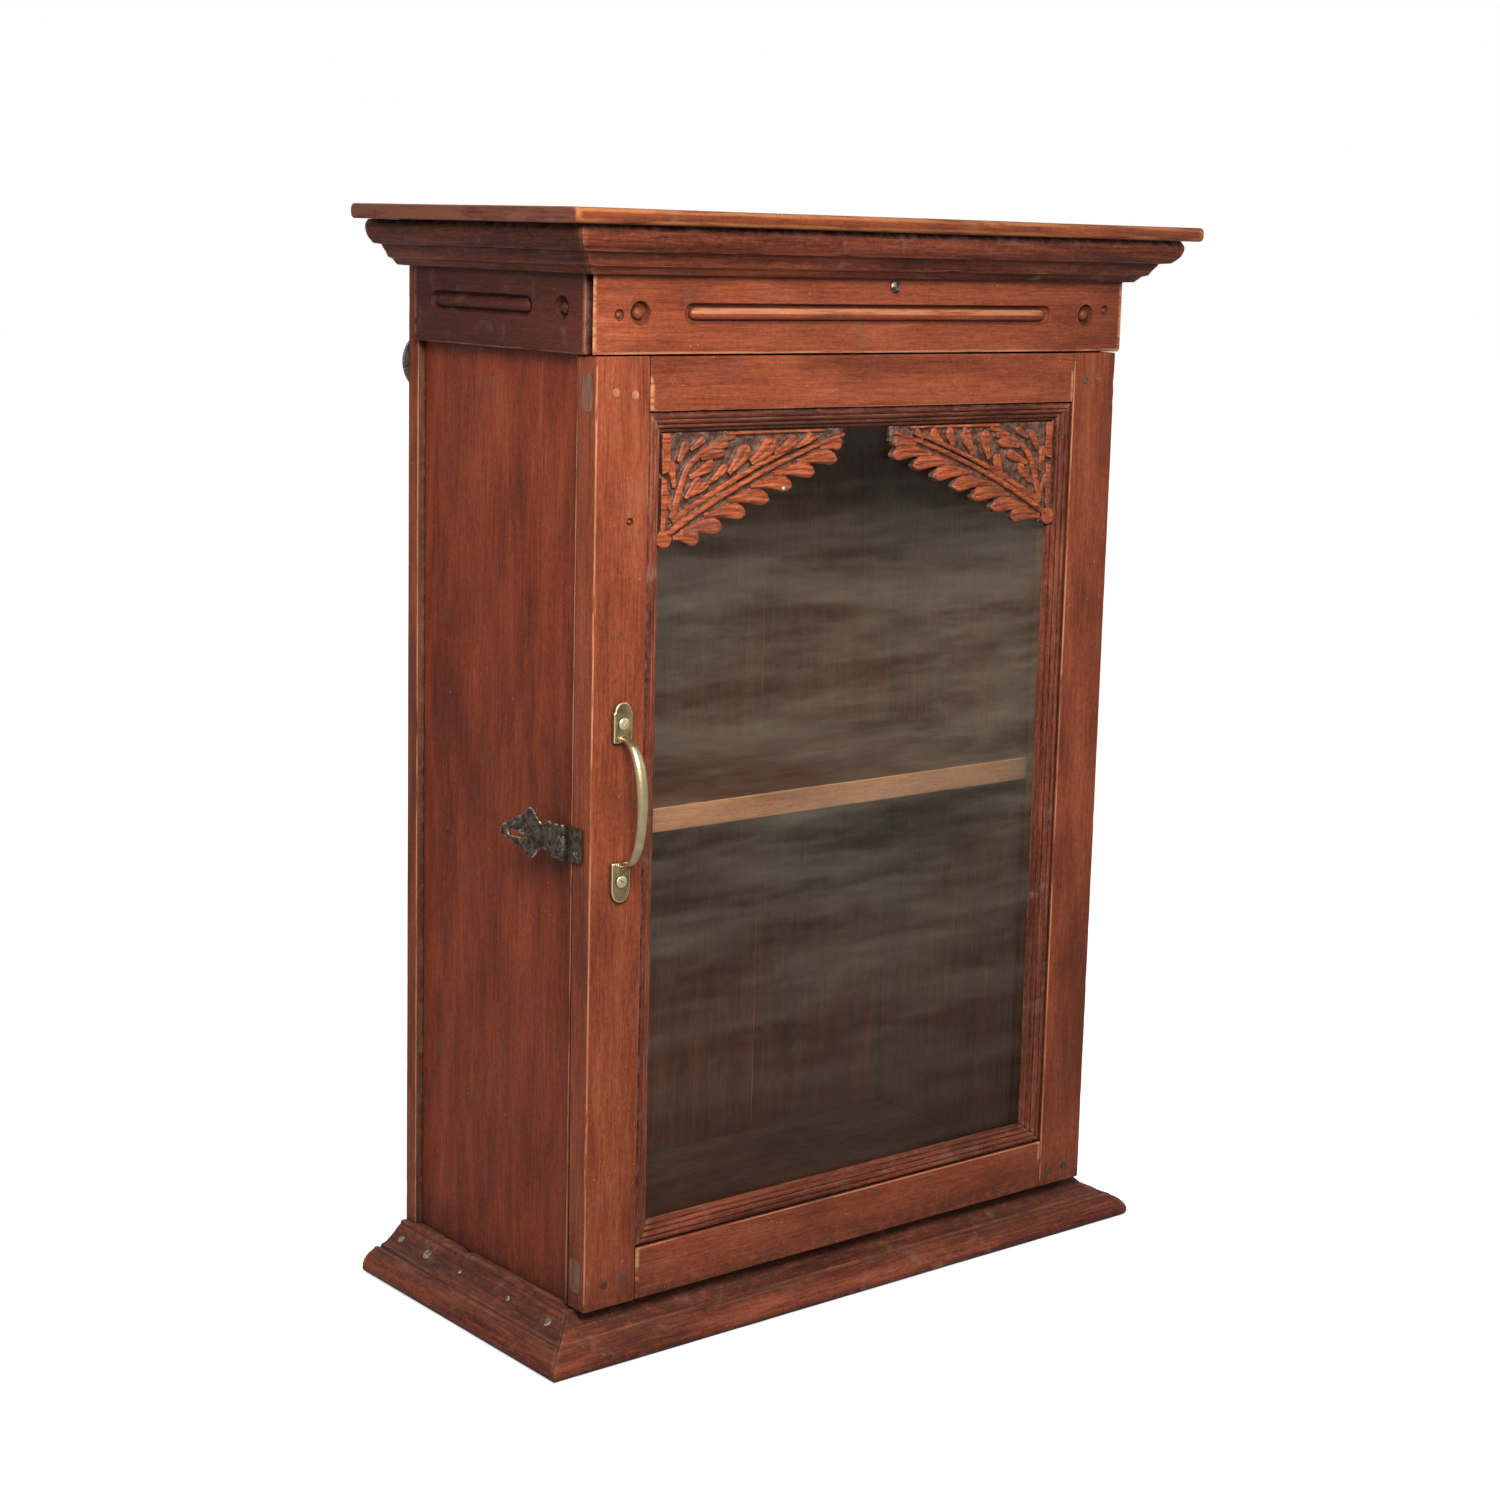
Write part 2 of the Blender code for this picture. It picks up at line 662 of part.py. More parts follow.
def build_spandrels():
    """A pair of carved corner brackets in front of the glass."""
    pieces = []
    y = GLASS_FRONT_Y - GAP - SPANDREL_T / 2
    for label, sign in (("left", -1), ("right", 1)):
        points = [(sign * x, z) for x, z in spandrel_outline()]
        pieces.append(plate(
            "spandrel_" + label, points, SPANDREL_T,
            facing((1, 0, 0), (0, 0, 1), (0, y, 0)), "teak_carved",
        ))
    return pieces


def build_handle():
    """Brass bow handle on two screwed feet."""
    face_y = DOOR_FRONT_Y - GAP
    foot_y = face_y - FOOT_T / 2
    feet = []
    for label, sign, end in (("bottom", -1, HANDLE_Z[0]), ("top", 1, HANDLE_Z[1])):
        half = FOOT_W / 2
        inner = end - sign * FOOT_H
        round_end = arc((0, end - sign * half), half, 0, sign * 180, 8)
        points = [(half * 0.8, inner)] + round_end + [(-half * 0.8, inner)]
        feet.append(plate(
            label + "_foot", points, FOOT_T,
            facing((1, 0, 0), (0, 0, 1), (HANDLE_X, foot_y, 0)),
            "brass" if label == "bottom" else None,
        ))
        hole = cylinder(
            label + "_foot_hole", (HANDLE_X, foot_y, end - sign * HANDLE_SCREW_INSET), (0, 1, 0),
            HANDLE_HOLE_R, 4 * FOOT_T, None, 12,
        )
        cut(feet[-1], as_cutter(hole))
    handle = feet[0]
    handle.name = "pull_handle"
    grip = grip_tube((HANDLE_Z[0] + FOOT_H - 3, HANDLE_Z[1] - FOOT_H + 3), foot_y)
    join(handle, as_cutter(grip), as_cutter(feet[1]))
    screws = []
    for label, z in (("lower", HANDLE_Z[0] + HANDLE_SCREW_INSET),
                     ("upper", HANDLE_Z[1] - HANDLE_SCREW_INSET)):
        screws.append(cylinder(
            "handle_screw_" + label, (HANDLE_X, face_y - FOOT_T - GAP - SCREW_RISE / 2, z),
            (0, -1, 0), SCREW_R, SCREW_RISE, "brass", 14, SCREW_TOP_R,
        ))
    return [handle] + screws


def grip_tube(ends, y):
    """The bowed grip: a tube along a flattened half oval from foot to foot."""
    curve = bpy.data.curves.new("grip", "CURVE")
    curve.dimensions = "3D"
    curve.bevel_depth = GRIP_R * MM
    curve.bevel_resolution = 3
    curve.use_fill_caps = True
    spline = curve.splines.new("POLY")
    steps = 18
    spline.points.add(steps)
    middle = (ends[0] + ends[1]) / 2
    half = (ends[1] - ends[0]) / 2
    for i, point in enumerate(spline.points):
        angle = math.pi * i / steps
        along = -math.cos(angle)
        out = (GRIP_OUT - GRIP_R) * math.sin(angle) ** 0.72
        point.co = (HANDLE_X * MM, (y - out) * MM, (middle + half * along) * MM, 1.0)
    curve_obj = bpy.data.objects.new("grip", curve)
    bpy.context.scene.collection.objects.link(curve_obj)
    bpy.context.view_layer.update()
    mesh = curve_to_mesh(curve_obj, "grip")
    return add_part("grip", mesh, None)


# ---------------------------------------------------------------- hinges and hasp

def knuckle_row(prefix, centre, radius, bore, spans):
    """Helper solids of one leaf's knuckles, and the bore through them."""
    knuckles = []
    for i, (low, high) in enumerate(spans):
        middle = (centre[0], centre[1], centre[2] + (low + high) / 2)
        knuckle = cylinder(
            "%s_knuckle_%d" % (prefix, i), middle, (0, 0, 1), radius, high - low, None, 14,
        )
        knuckles.append(as_cutter(knuckle))
    height = 2 * max(abs(value) for span in spans for value in span)
    hole = cylinder(prefix + "_bore", centre, (0, 0, 1), bore, height + 2 * OVERCUT, None, 12)
    return knuckles, as_cutter(hole)


def build_door_hinge(label, z, side_board, stile):
    """A butt hinge: a leaf let into each part, three knuckles and a pin."""
    outer = HINGE_H / 2
    inner = MIDDLE_KNUCKLE_H / 2
    centre = (HINGE_X, HINGE_Y, z)
    inner_edge = HINGE_X - LEAF_W
    neck_x = HINGE_X - KNUCKLE_R - KNUCKLE_PLAY
    leaves = {}
    layout = (
        ("cabinet", CARCASS_FRONT_Y, 1, ((-outer, -inner - GAP), (inner + GAP, outer)),
         ((-inner - GAP, inner + GAP),), side_board),
        ("door", DOOR_BACK_Y, -1, ((-inner, inner),),
         ((-outer - 1, -inner), (inner, outer + 1)), stile),
    )
    for owner, face_y, side, spans, notches, wood in layout:
        prefix = "%s_hinge_%s" % (label, owner)
        depths = sorted((face_y, face_y + side * LEAF_T))
        leaf = box(
            prefix + "_leaf", (inner_edge, depths[0], z - outer), (HINGE_X, depths[1], z + outer),
            "iron",
        )
        for i, (low, high) in enumerate(notches):
            notch = box(
                "%s_notch_%d" % (prefix, i), (neck_x, depths[0] - OVERCUT / 2, z + low),
                (HINGE_X + OVERCUT, depths[1] + OVERCUT / 2, z + high), None,
            )
            cut(leaf, as_cutter(notch))
        knuckles, hole = knuckle_row(prefix, centre, KNUCKLE_R, PIN_R + GAP, spans)
        join(leaf, *knuckles)
        cut(leaf, hole)
        recess = sorted((face_y - side * OVERCUT / 4, face_y + side * (LEAF_T + GAP)))
        pocket = box(
            prefix + "_pocket", (inner_edge - GAP, recess[0], z - outer - GAP),
            (HINGE_X + OVERCUT, recess[1], z + outer + GAP), None,
        )
        cut(wood, as_cutter(pocket))
        leaves[owner] = leaf
    cylinder(
        label + "_hinge_pin", centre, (0, 0, 1), PIN_R, HINGE_H + 2 * PIN_STANDS_OUT, "iron", 12,
    )
    return leaves["door"]


def build_hasp_leaf():
    """The hasp's leaf on the door's edge, with its two outer knuckles, and the pin."""
    outer = HASP_H / 2
    inner = HASP_MIDDLE_H / 2
    plate_x = -DOOR_HALF_W - GAP
    leaf = box(
        "hasp_door_leaf", (plate_x - HASP_PLATE_T, HASP_Y - HASP_LEAF_W, HASP_Z - outer),
        (plate_x, HASP_Y, HASP_Z + outer), "iron",
    )
    notch = box(
        "hasp_leaf_notch",
        (plate_x - OVERCUT, HASP_Y - HASP_KNUCKLE_R - KNUCKLE_PLAY, HASP_Z - inner - GAP),
        (plate_x + OVERCUT / 2, HASP_Y + OVERCUT, HASP_Z + inner + GAP), None,
    )
    spans = ((-outer, -inner - GAP), (inner + GAP, outer))
    knuckles, hole = knuckle_row(
        "hasp_leaf", (HASP_X, HASP_Y, HASP_Z), HASP_KNUCKLE_R, HASP_PIN_R + GAP, spans,
    )
    cut(leaf, as_cutter(notch))
    join(leaf, *knuckles)
    cut(leaf, hole)
    pin = cylinder(
        "hasp_pin", (HASP_X, HASP_Y, HASP_Z), (0, 0, 1), HASP_PIN_R, HASP_H + 1.6, "iron", 10,
    )
    return [leaf, pin]


def hasp_outline():
    """Butterfly strap: (distance from the pin, height) with a waist, two wings and a round tip."""
    half = HASP_H / 2
    knuckle_edge = HASP_KNUCKLE_R + 0.6
    neck = HASP_MIDDLE_H / 2
    upper = [
        (knuckle_edge, half), (9.5, half + 0.4), (14.0, half - 1.4), (18.5, half - 2.8),
        (22.6, half + 0.8), (25.4, half + 5.0), (28.6, half + 5.6), (32.0, half + 2.8),
        (38.0, half - 0.4), (44.0, half - 3.0), (49.5, half - 5.6), (53.0, 3.6), (55.0, 2.0),
    ]
    lower = [(u, -v * (HASP_WING_DROOP if u > 12.0 else 1.0)) for u, v in reversed(upper)]
    foot = [(knuckle_edge, -neck), (0, -neck), (0, neck), (knuckle_edge, neck)]
    return upper + [(55.6, 0.0)] + lower + foot


def build_hasp():
    """The swinging strap, slotted for the staple, on a pivot that stands lifted at rest."""
    plate_x = -DOOR_HALF_W - GAP - HASP_PLATE_T / 2
    stand = facing((0, 1, 0), (0, 0, 1), (plate_x, HASP_Y, HASP_Z))
    strap = plate("hasp_strap", list(reversed(hasp_outline())), HASP_PLATE_T, stand, "iron")
    slot_at = facing((0, 1, 0), (0, 0, 1), (plate_x, HASP_Y + STAPLE_FROM_PIN, HASP_Z))
    slot = plate(
        "hasp_slot", stadium(STAPLE_HALF_W + STAPLE_WIRE_R + HASP_SLOT_PLAY, HASP_SLOT_HALF_H, 5),
        4 * HASP_PLATE_T, slot_at, None,
    )
    knuckles, hole = knuckle_row(
        "hasp_strap", (HASP_X, HASP_Y, HASP_Z), HASP_KNUCKLE_R, HASP_PIN_R + GAP,
        ((-HASP_MIDDLE_H / 2, HASP_MIDDLE_H / 2),),
    )
    cut(strap, as_cutter(slot))
    join(strap, *knuckles)
    cut(strap, hole)
    return [strap, slot, hole] + knuckles


def build_staple(side_board):
    """A round-wire staple driven into the left side, its eye standing through the hasp."""
    centre_y = HASP_Y + STAPLE_FROM_PIN
    inner_x = -SIDE_OUTER_X + STAPLE_DEPTH
    bend_x = STAPLE_TOP_X + STAPLE_HALF_W
    route = [(inner_x, centre_y - STAPLE_HALF_W)]
    route += [(bend_x - STAPLE_HALF_W * math.sin(a), centre_y - STAPLE_HALF_W * math.cos(a))
              for a in (math.pi * i / 8 for i in range(9))]
    route += [(inner_x, centre_y + STAPLE_HALF_W)]
    curve = bpy.data.curves.new("hasp_staple", "CURVE")
    curve.dimensions = "3D"
    curve.bevel_depth = STAPLE_WIRE_R * MM
    curve.bevel_resolution = 2
    curve.use_fill_caps = True
    spline = curve.splines.new("POLY")
    spline.points.add(len(route) - 1)
    for point, (x, y) in zip(spline.points, route):
        point.co = (x * MM, y * MM, HASP_Z * MM, 1.0)
    curve_obj = bpy.data.objects.new("staple_curve", curve)
    bpy.context.scene.collection.objects.link(curve_obj)
    bpy.context.view_layer.update()
    add_part("hasp_staple", curve_to_mesh(curve_obj, "hasp_staple"), "iron")
    for i, y in enumerate((centre_y - STAPLE_HALF_W, centre_y + STAPLE_HALF_W)):
        hole = cylinder(
            "staple_hole_%d" % i, (-SIDE_OUTER_X, y, HASP_Z), (1, 0, 0), STAPLE_WIRE_R + GAP,
            2 * (STAPLE_DEPTH + GAP), None, 10,
        )
        cut(side_board, as_cutter(hole))


def build_cabinet():
    """Assemble the whole cabinet."""
    sides, planks = build_carcass()
    build_frieze()
    build_edge_mouldings()
    build_hangers(planks)
    frame = build_door_frame()
    door_pieces = [frame[key] for key in ("left", "right", "top", "bottom")]
    door_pieces += build_pegs(frame)
    door_pieces += build_glazing()
    door_pieces += build_spandrels()
    door_pieces += build_handle()
    for label, z in zip(("lower", "upper"), HINGE_Z):
        door_pieces.append(build_door_hinge(label, z, sides["right"], frame["right"]))
    door_pieces += build_hasp_leaf()
    hasp_pieces = build_hasp()
    build_staple(sides["left"])
    door_pivot = pivot("door_pivot", (HINGE_X, HINGE_Y, HINGE_Z[0]))
    carry(door_pivot, *door_pieces)
    hasp_pivot = pivot("hasp_pivot", (HASP_X, HASP_Y, HASP_Z))
    carry(hasp_pivot, *hasp_pieces)
    hasp_pivot.rotation_euler = (0, 0, math.radians(HASP_LIFT_DEG))


clear_scene()
PARTS = new_collection("key_cabinet")
CUTTERS = new_collection("cutters")
build_cabinet()
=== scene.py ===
"""Looks of the glazed teak key cabinet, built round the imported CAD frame.

Shapes are laid out in millimetres in the CAD's frame: X is the width, the door faces -Y, Z is up.
Timber is swept from a profile with worn arrises, carving and castings are fused from simple
solids, and every finish is a procedural node material.
"""

import json
import math

import bmesh
import bpy
from mathutils import Matrix, Vector, noise


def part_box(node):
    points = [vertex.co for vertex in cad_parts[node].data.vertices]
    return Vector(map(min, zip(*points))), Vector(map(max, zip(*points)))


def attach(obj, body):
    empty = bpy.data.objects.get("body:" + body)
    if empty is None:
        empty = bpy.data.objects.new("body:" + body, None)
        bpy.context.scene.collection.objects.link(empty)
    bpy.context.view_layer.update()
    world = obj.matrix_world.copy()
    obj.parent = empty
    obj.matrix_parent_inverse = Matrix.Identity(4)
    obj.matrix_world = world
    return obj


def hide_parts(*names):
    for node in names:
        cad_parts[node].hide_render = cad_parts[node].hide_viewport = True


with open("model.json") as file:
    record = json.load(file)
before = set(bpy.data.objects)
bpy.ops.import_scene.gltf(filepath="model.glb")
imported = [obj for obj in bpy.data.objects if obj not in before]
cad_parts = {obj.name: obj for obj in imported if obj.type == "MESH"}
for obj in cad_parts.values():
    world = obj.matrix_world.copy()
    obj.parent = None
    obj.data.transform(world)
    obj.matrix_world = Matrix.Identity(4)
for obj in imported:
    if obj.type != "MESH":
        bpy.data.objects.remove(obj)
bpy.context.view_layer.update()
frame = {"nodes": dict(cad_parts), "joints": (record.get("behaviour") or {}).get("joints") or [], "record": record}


def srgb(red, green, blue):
    """A linear colour from 0-255 display values."""
    values = [c / 255 for c in (red, green, blue)]
    return tuple(((c + 0.055) / 1.055) ** 2.4 if c > 0.04 else c / 12.92 for c in values) + (1.0,)


# ---------------------------------------------------------------- sizes, in millimetres

MM = 0.001               # a millimetre in the scene's metres
STATION = 7.0            # spacing of the sections along a timber
UP = Vector((0, 0, 1))
GRAIN = {"X": Vector((1, 0, 0)), "Y": Vector((0, 1, 0)), "Z": UP}
SIDES = (("left", -1), ("right", 1))
FAR = 1000.0             # a bound beyond every piece

# Mouldings: runs of (projection, height). A run of three or more points is a smooth curve.
CORNICE = (
    ((0, 0), (5.6, 0.3)), ((5.6, 0.3), (7.0, 1.8), (9.4, 4.4)), ((9.4, 4.4), (12.8, 5.4)),
    ((12.8, 5.4), (14.4, 8.6), (17.4, 12.6)), ((17.4, 12.6), (18.2, 13.8), (24.4, 14.4)),
    ((24.4, 14.4), (25.0, 15.4)),
    ((25.0, 15.4), (28.4, 18.8), (30.3, 23.6), (30.3, 27.2), (28.4, 30.2)), ((28.4, 30.2), (0, 30.2)),
)
BASE = (
    ((0, 0), (37.5, 0)),
    ((37.5, 0), (40.4, 2.4), (41.0, 6.2), (39.2, 10.8), (35.4, 14.6), (31.6, 16.6)),
    ((31.6, 16.6), (31.0, 17.8)), ((31.0, 17.8), (27.6, 17.6)), ((27.6, 17.6), (26.8, 15.6)),
    ((26.8, 15.6), (25.4, 18.6)), ((25.4, 18.6), (21.0, 20.2), (15.6, 24.6), (11.6, 28.8), (9.6, 30.2)),
    ((9.6, 30.2), (9.2, 33.0)), ((9.2, 33.0), (0, 33.0)),
)
STICKING = (
    ((0, 0), (13.6, 0)), ((13.6, 0), (13.6, 3.0)), ((13.6, 3.0), (12.9, 4.6), (11.5, 5.2)),
    ((10.9, 4.8), (10.9, 6.2)), ((10.9, 6.2), (10.0, 7.7), (8.6, 7.9)), ((8.0, 7.4), (8.0, 8.6)),
    ((8.0, 8.6), (6.6, 10.0), (5.2, 10.0)),
    ((4.6, 9.4), (4.2, 10.6), (3.0, 11.0), (1.6, 10.6), (0.6, 9.4)), ((0.6, 9.4), (0, 9.2)),
)

# Carcass
PLANK_FIT = Vector((0.5, 0, 0))    # how far a plank closes up to its neighbour
HANGER_HOLE_UP = 6.0     # the nail hole's height above the plate's centre
CORNICE_FIT = 0.55       # how far the cornice closes up under the top board

# Frieze
CHANNEL_HALF_H = 6.6
CHANNEL_DEPTH = 4.0
CHANNEL_Z = 686.0
SIDE_CHANNEL_Z = 688.0
FRIEZE_DROP = 3.5        # how far the frieze's lower edge hangs over the gap above the door
REED_R = 4.5
REED_STEPS = 24
BOSS_R = 7.8
BOSS_DEPTH = 4.6
SMALL_BOSSES = ((-213.8, 684.8), (216.6, 689.4))
SMALL_BOSS_R = 3.8
SMALL_BOSS_DEPTH = 2.2
FRONT_CHANNEL_HALF = 163.0
SIDE_CHANNEL_HALF = 60.0
SIDE_CHANNEL_Y = 35.0
FRONT_BOSS_X = 197.6
SIDE_BOSS_Y = -58.0
WEAR_BAND = 14.0         # half the height of the band whose hollows stay unworn

# Door
PALE_PEGS = ("peg_top_left_outer", "peg_top_left_inner", "peg_top_right_outer")
DOOR_ENDS = (36.2, 657.0)    # below and above these heights the door's arrises stay dark
SEAM_Y = 2.2             # how far in front of the door's back the shrinkage seam runs
SEAM_DEPTH = 6.0
# The seam's width at some heights
SEAM_WIDTHS = ((33.0, 2.8), (200.0, 1.8), (350.0, 1.0), (660.0, 0.6))
TENON_ENDS = {"top": (625.1, 648.1), "bottom": (46.2, 69.2)}
TENON_END_Y = (-88.2, -76.4)
TENON_CORNER_R = 4.2
OLD_NAIL_HOLE = (-203.3, 555.4)
OLD_NAIL_R = 2.6
OLD_NAIL_DEPTH = 2.0

# Carving. A spandrel is laid out from its lower corner at the stile: u inward, v up, h out from its back.
RIB_FOOT = Vector((5.0, 9.5))
RIB_TIP = Vector((152.0, 70.0))
RIB_BULGE = 5.2
LOBES = 7
LEAF_SECTION = (
    (-1, 0), (-1, 0.66), (-0.86, 0.86), (-0.50, 1.0), (-0.16, 0.97), (0, 0.90), (0.16, 0.97),
    (0.50, 1.0), (0.86, 0.86), (1, 0.66), (1, 0),
)
# Upper leaves of the main spray: (u, v, direction in degrees, length, half width)
UPPER_LEAVES = {
    "left": (
        (26, 35, 30, 14, 2.8), (40, 43, 38, 16, 3.4), (56, 49, 49, 22, 5.8), (75, 55, 37, 22, 6.2),
        (95, 60, 29, 19, 4.6), (114, 64, 30, 13.5, 3.6),
    ),
    "right": (
        (48, 35, 72, 20, 4.2), (62, 52, 78, 18.5, 4.6), (78, 56, 64, 17, 5.0), (97, 62, 72, 10.5, 4.0),
        (109, 64, 40, 11, 4.2), (127, 67, 42, 6.5, 3.0),
    ),
}
# Where the free lobes end: first end, step from one to the next
LOBE_ENDS = {
    "left": (Vector((31.0, 3.4)), Vector((19.4, 8.3))),
    "right": (Vector((38.0, 7.4)), Vector((19.0, 7.8))),
}
STEM = ((9.5, 19), (15, 37), (20, 49), (28, 57.5), (38, 63), (49, 68), (60, 70.6))
STEM_LEAVES = (
    (34, 57.5, 12, 18.5, 3.7), (25, 46, 22, 20.5, 4.0), (21, 33, 48, 16, 3.7), (14.5, 57, 62, 13.5, 3.8),
    (25, 64, 32, 12, 3.0), (10, 41, 97, 16, 3.3), (8.6, 24, 110, 15, 2.8), (44, 64, 10, 11, 2.2),
)
# Heights of the carving's layers above its back
GROUND_H = 3.2
LOBE_H = 7.3
LEAF_H = 7.2
STEM_H = 6.4
# Outlines of the plain strip beside the stile
UPPER_BLOCK = ((0, 48), (5.4, 49.5), (6.6, 58))
LOWER_BLOCK = ((0, 12), (3.6, 13), (4.8, 30), (4.2, 44.5), (0, 46))
CARVING_NAILS = {"left": (100.0, 35.5, 7.4), "right": (41.0, 28.0, 4.2)}    # u, v and h

# Metalwork
FOOT_T = 3.0
FOOT_H = 26.5
GRIP_STEPS = 28
FOOT_HALF_W = 7.2
GRIP_R = 2.8
GRIP_INSET = 5.4         # how far the grip stays inside the CAD's reach
HASP_LEAF = (
    ((2.0, 11.0), (9.5, 11.4)),
    ((9.5, 11.4), (13.5, 10.4), (17.0, 8.2), (20.0, 8.4), (22.6, 11.8), (25.4, 16.0), (28.6, 16.6),
     (32.0, 13.8), (38.0, 10.6), (44.0, 8.0), (49.5, 5.4)),
    ((49.5, 5.4), (52.6, 4.0), (55.0, 2.4), (55.6, 0.0)),
)
LOWER_WING = 0.86        # the lower wing is a little smaller than the upper one
UPPER_WING = 1.16        # and the upper one is drawn up and curled
HASP_WING_CURL = 2.2
STRAP_T = 1.7
HASP_SLOT = (40.0, 6.3, 2.4)     # distance from the pin, half length between centres, radius
HASP_KNUCKLE = ((0, -4.9), (2.7, -4.9), (3.0, -4.5), (3.0, 4.5), (2.7, 4.9), (0, 4.9))
HASP_SCREW_UP = 6.5
# Old nails in the left base moulding: place along it and radius
BASE_NAILS = ((116.0, 3.2), (81.0, 4.4), (40.0, 2.0), (-20.0, 2.2), (-68.0, 3.8))
BASE_NAIL_X = -242.0
BASE_NAIL_Z = 24.0
BASE_NAIL_WAY = (-0.62, 0, 0.78)

# Materials
# Timber tones: grain from dark to light, then smudge, dust and worn arris with painted highlight, with their
# weights, and the roughness
TONES = {
    "front": (
        (68, 28, 17), (122, 58, 35), (152, 84, 56), ((56, 25, 18), 0.55),
        ((92, 66, 54), 0.3), ((196, 138, 100), 0.7), 0.42,
    ),
    "side": (
        (62, 22, 12), (118, 49, 27), (150, 71, 42), ((46, 21, 17), 0.55),
        ((92, 68, 58), 0.35), ((190, 136, 100), 0.8), 0.44,
    ),
    "frieze_side": (
        (46, 19, 14), (76, 33, 24), (98, 46, 34), ((42, 20, 18), 0.5),
        ((100, 78, 70), 0.4), ((158, 108, 84), 0.45), 0.46,
    ),
    "moulding": (
        (42, 17, 12), (96, 44, 28), (132, 68, 46), ((52, 32, 26), 0.6),
        ((118, 94, 82), 0.5), ((164, 112, 84), 0.28), 0.46,
    ),
    "top": (
        (64, 28, 16), (112, 54, 30), (140, 74, 42), ((60, 30, 20), 0.5),
        ((112, 90, 74), 0.25), ((206, 140, 84), 0.32), 0.4,
    ),
    # painted shade: a darker copy of the top tone for the board's ends
    "top_end_shaded": (
        (54, 22, 15), (88, 42, 30), (114, 60, 42), ((50, 26, 20), 0.5),
        ((112, 88, 76), 0.3), ((160, 108, 84), 0.22), 0.44,
    ),
    "end_grain": (
        (62, 36, 29), (96, 61, 50), (124, 88, 75), ((48, 29, 25), 0.6),
        ((108, 86, 77), 0.45), ((160, 122, 100), 0.3), 0.62,
    ),
    "peg_dark": (
        (56, 34, 28), (88, 58, 48), (122, 92, 78), ((40, 26, 22), 0.6),
        ((104, 90, 82), 0.5), ((150, 124, 104), 0.4), 0.62,
    ),
    "inside": (
        (52, 28, 20), (92, 52, 38), (120, 74, 54), ((44, 26, 20), 0.5),
        ((104, 88, 76), 0.45), ((150, 112, 84), 0.4), 0.66,
    ),
    "shelf": (
        (136, 88, 60), (182, 128, 92), (208, 158, 118), ((90, 56, 40), 0.45),
        ((116, 92, 76), 0.3), ((222, 180, 140), 0.6), 0.62,
    ),
    "peg": (
        (110, 62, 42), (156, 100, 70), (186, 134, 100), ((76, 42, 32), 0.6),
        ((84, 60, 50), 0.5), ((196, 150, 116), 0.4), 0.62,
    ),
}
SHADE_RANGES = {"moulding": (0.22, 0.62)}    # how hollow a place is where its painted shade begins and ends
SPREADS = {"moulding": 0.11}             # half the width of the grain's range
# How far each kind of grain is drawn out along the timber, and how fine it is across it
STRETCH = {"figure": 0.16, "streak": 0.045, "fibre": 0.05, "pore": 0.08, "stain": 0.35, "rub": 0.10}
PER_METRE = {
    "figure": 46.0, "streak": 520.0, "fibre": 1900.0, "pore": 1900.0, "stain": 16.0, "rub": 200.0,
}
# Painted shade: the near-black colour mixed into corners and recesses
CREVICE_SHADE = srgb(34, 19, 15)
GRIME = srgb(50, 36, 30)
PAINTED_HAZE_GLOW = 1.35         # the film's painted glow, standing for the studio light on it

# Stage, in metres, watts and degrees
# Lights: name, place, size, power, colour
LIGHTS = (
    ("key", (-0.65, -0.88, 1.15), 0.5, 25.0, (1.0, 0.97, 0.93)),
    ("fill", (1.5, -1.4, 1.3), 1.2, 3.0, (1.0, 0.98, 0.96)),
    ("back", (0.2, 1.6, 1.6), 1.2, 6.0, (1.0, 1.0, 1.0)),
)
LIGHT_AIM = Vector((0, 0, 0.38))
SKY_LIGHT = 0.45
FLOOR_GLOW = 0.66
CAMERA_PLACE = (-1.21157, -1.47093, 0.73474)
CAMERA_ANGLES = (-39.882, 9.664, 1.575)    # azimuth, elevation and roll
CAMERA_LENS = 65.035
CAMERA_SHIFT = (-0.0333, -0.0333)


# ---------------------------------------------------------------- small tools

def node_box(node):
    """Lowest and highest corner of a CAD node, in millimetres."""
    low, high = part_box(node)
    return low / MM, high / MM


def smooth(points, steps=4):
    """Points of a Catmull-Rom curve through the given points, ends included."""
    points = [Vector(p) for p in points]
    if len(points) < 3:
        return points
    padded = [2 * points[0] - points[1]] + points + [2 * points[-1] - points[-2]]
    found = []
    for a, b, c, d in zip(padded, padded[1:], padded[2:], padded[3:]):
        for i in range(steps):
            t = i / steps
            found.append(0.5 * (
                2 * b + (c - a) * t + (2 * a - 5 * b + 4 * c - d) * t * t
                + (3 * b - a - 3 * c + d) * t ** 3
            ))
    return found + [points[-1]]


def outline(runs):
    """One closed profile from several runs, without doubled points."""
    found = []
    for run in runs:
        for point in smooth(run, 3):
            if not found or (point - found[-1]).length > 0.05:
                found.append(point)
    if (found[0] - found[-1]).length < 0.05:
        found.pop()
    return found


def arc(centre, radius, start_deg, end_deg, steps):
    """Points along an arc, both ends included."""
    angles = [math.radians(start_deg + (end_deg - start_deg) * i / steps) for i in range(steps + 1)]
    return [Vector((centre[0] + radius * math.cos(a), centre[1] + radius * math.sin(a))) for a in angles]


def chips(point, seed):
    """How deep the wear bites at a point, from 0 to 1: mostly slight, here and there a chip."""
    place = point + Vector((seed * 31.7, seed * 17.3, seed * 11.9))
    rub = 0.5 + 0.5 * noise.noise(place * 0.035)
    bite = max(0.0, noise.noise(place * 0.11) - 0.34) * 2.2
    return 0.30 * rub + bite


def linked(name, data):
    """A new object in the scene."""
    obj = bpy.data.objects.new(name, data)
    bpy.context.scene.collection.objects.link(obj)
    return obj


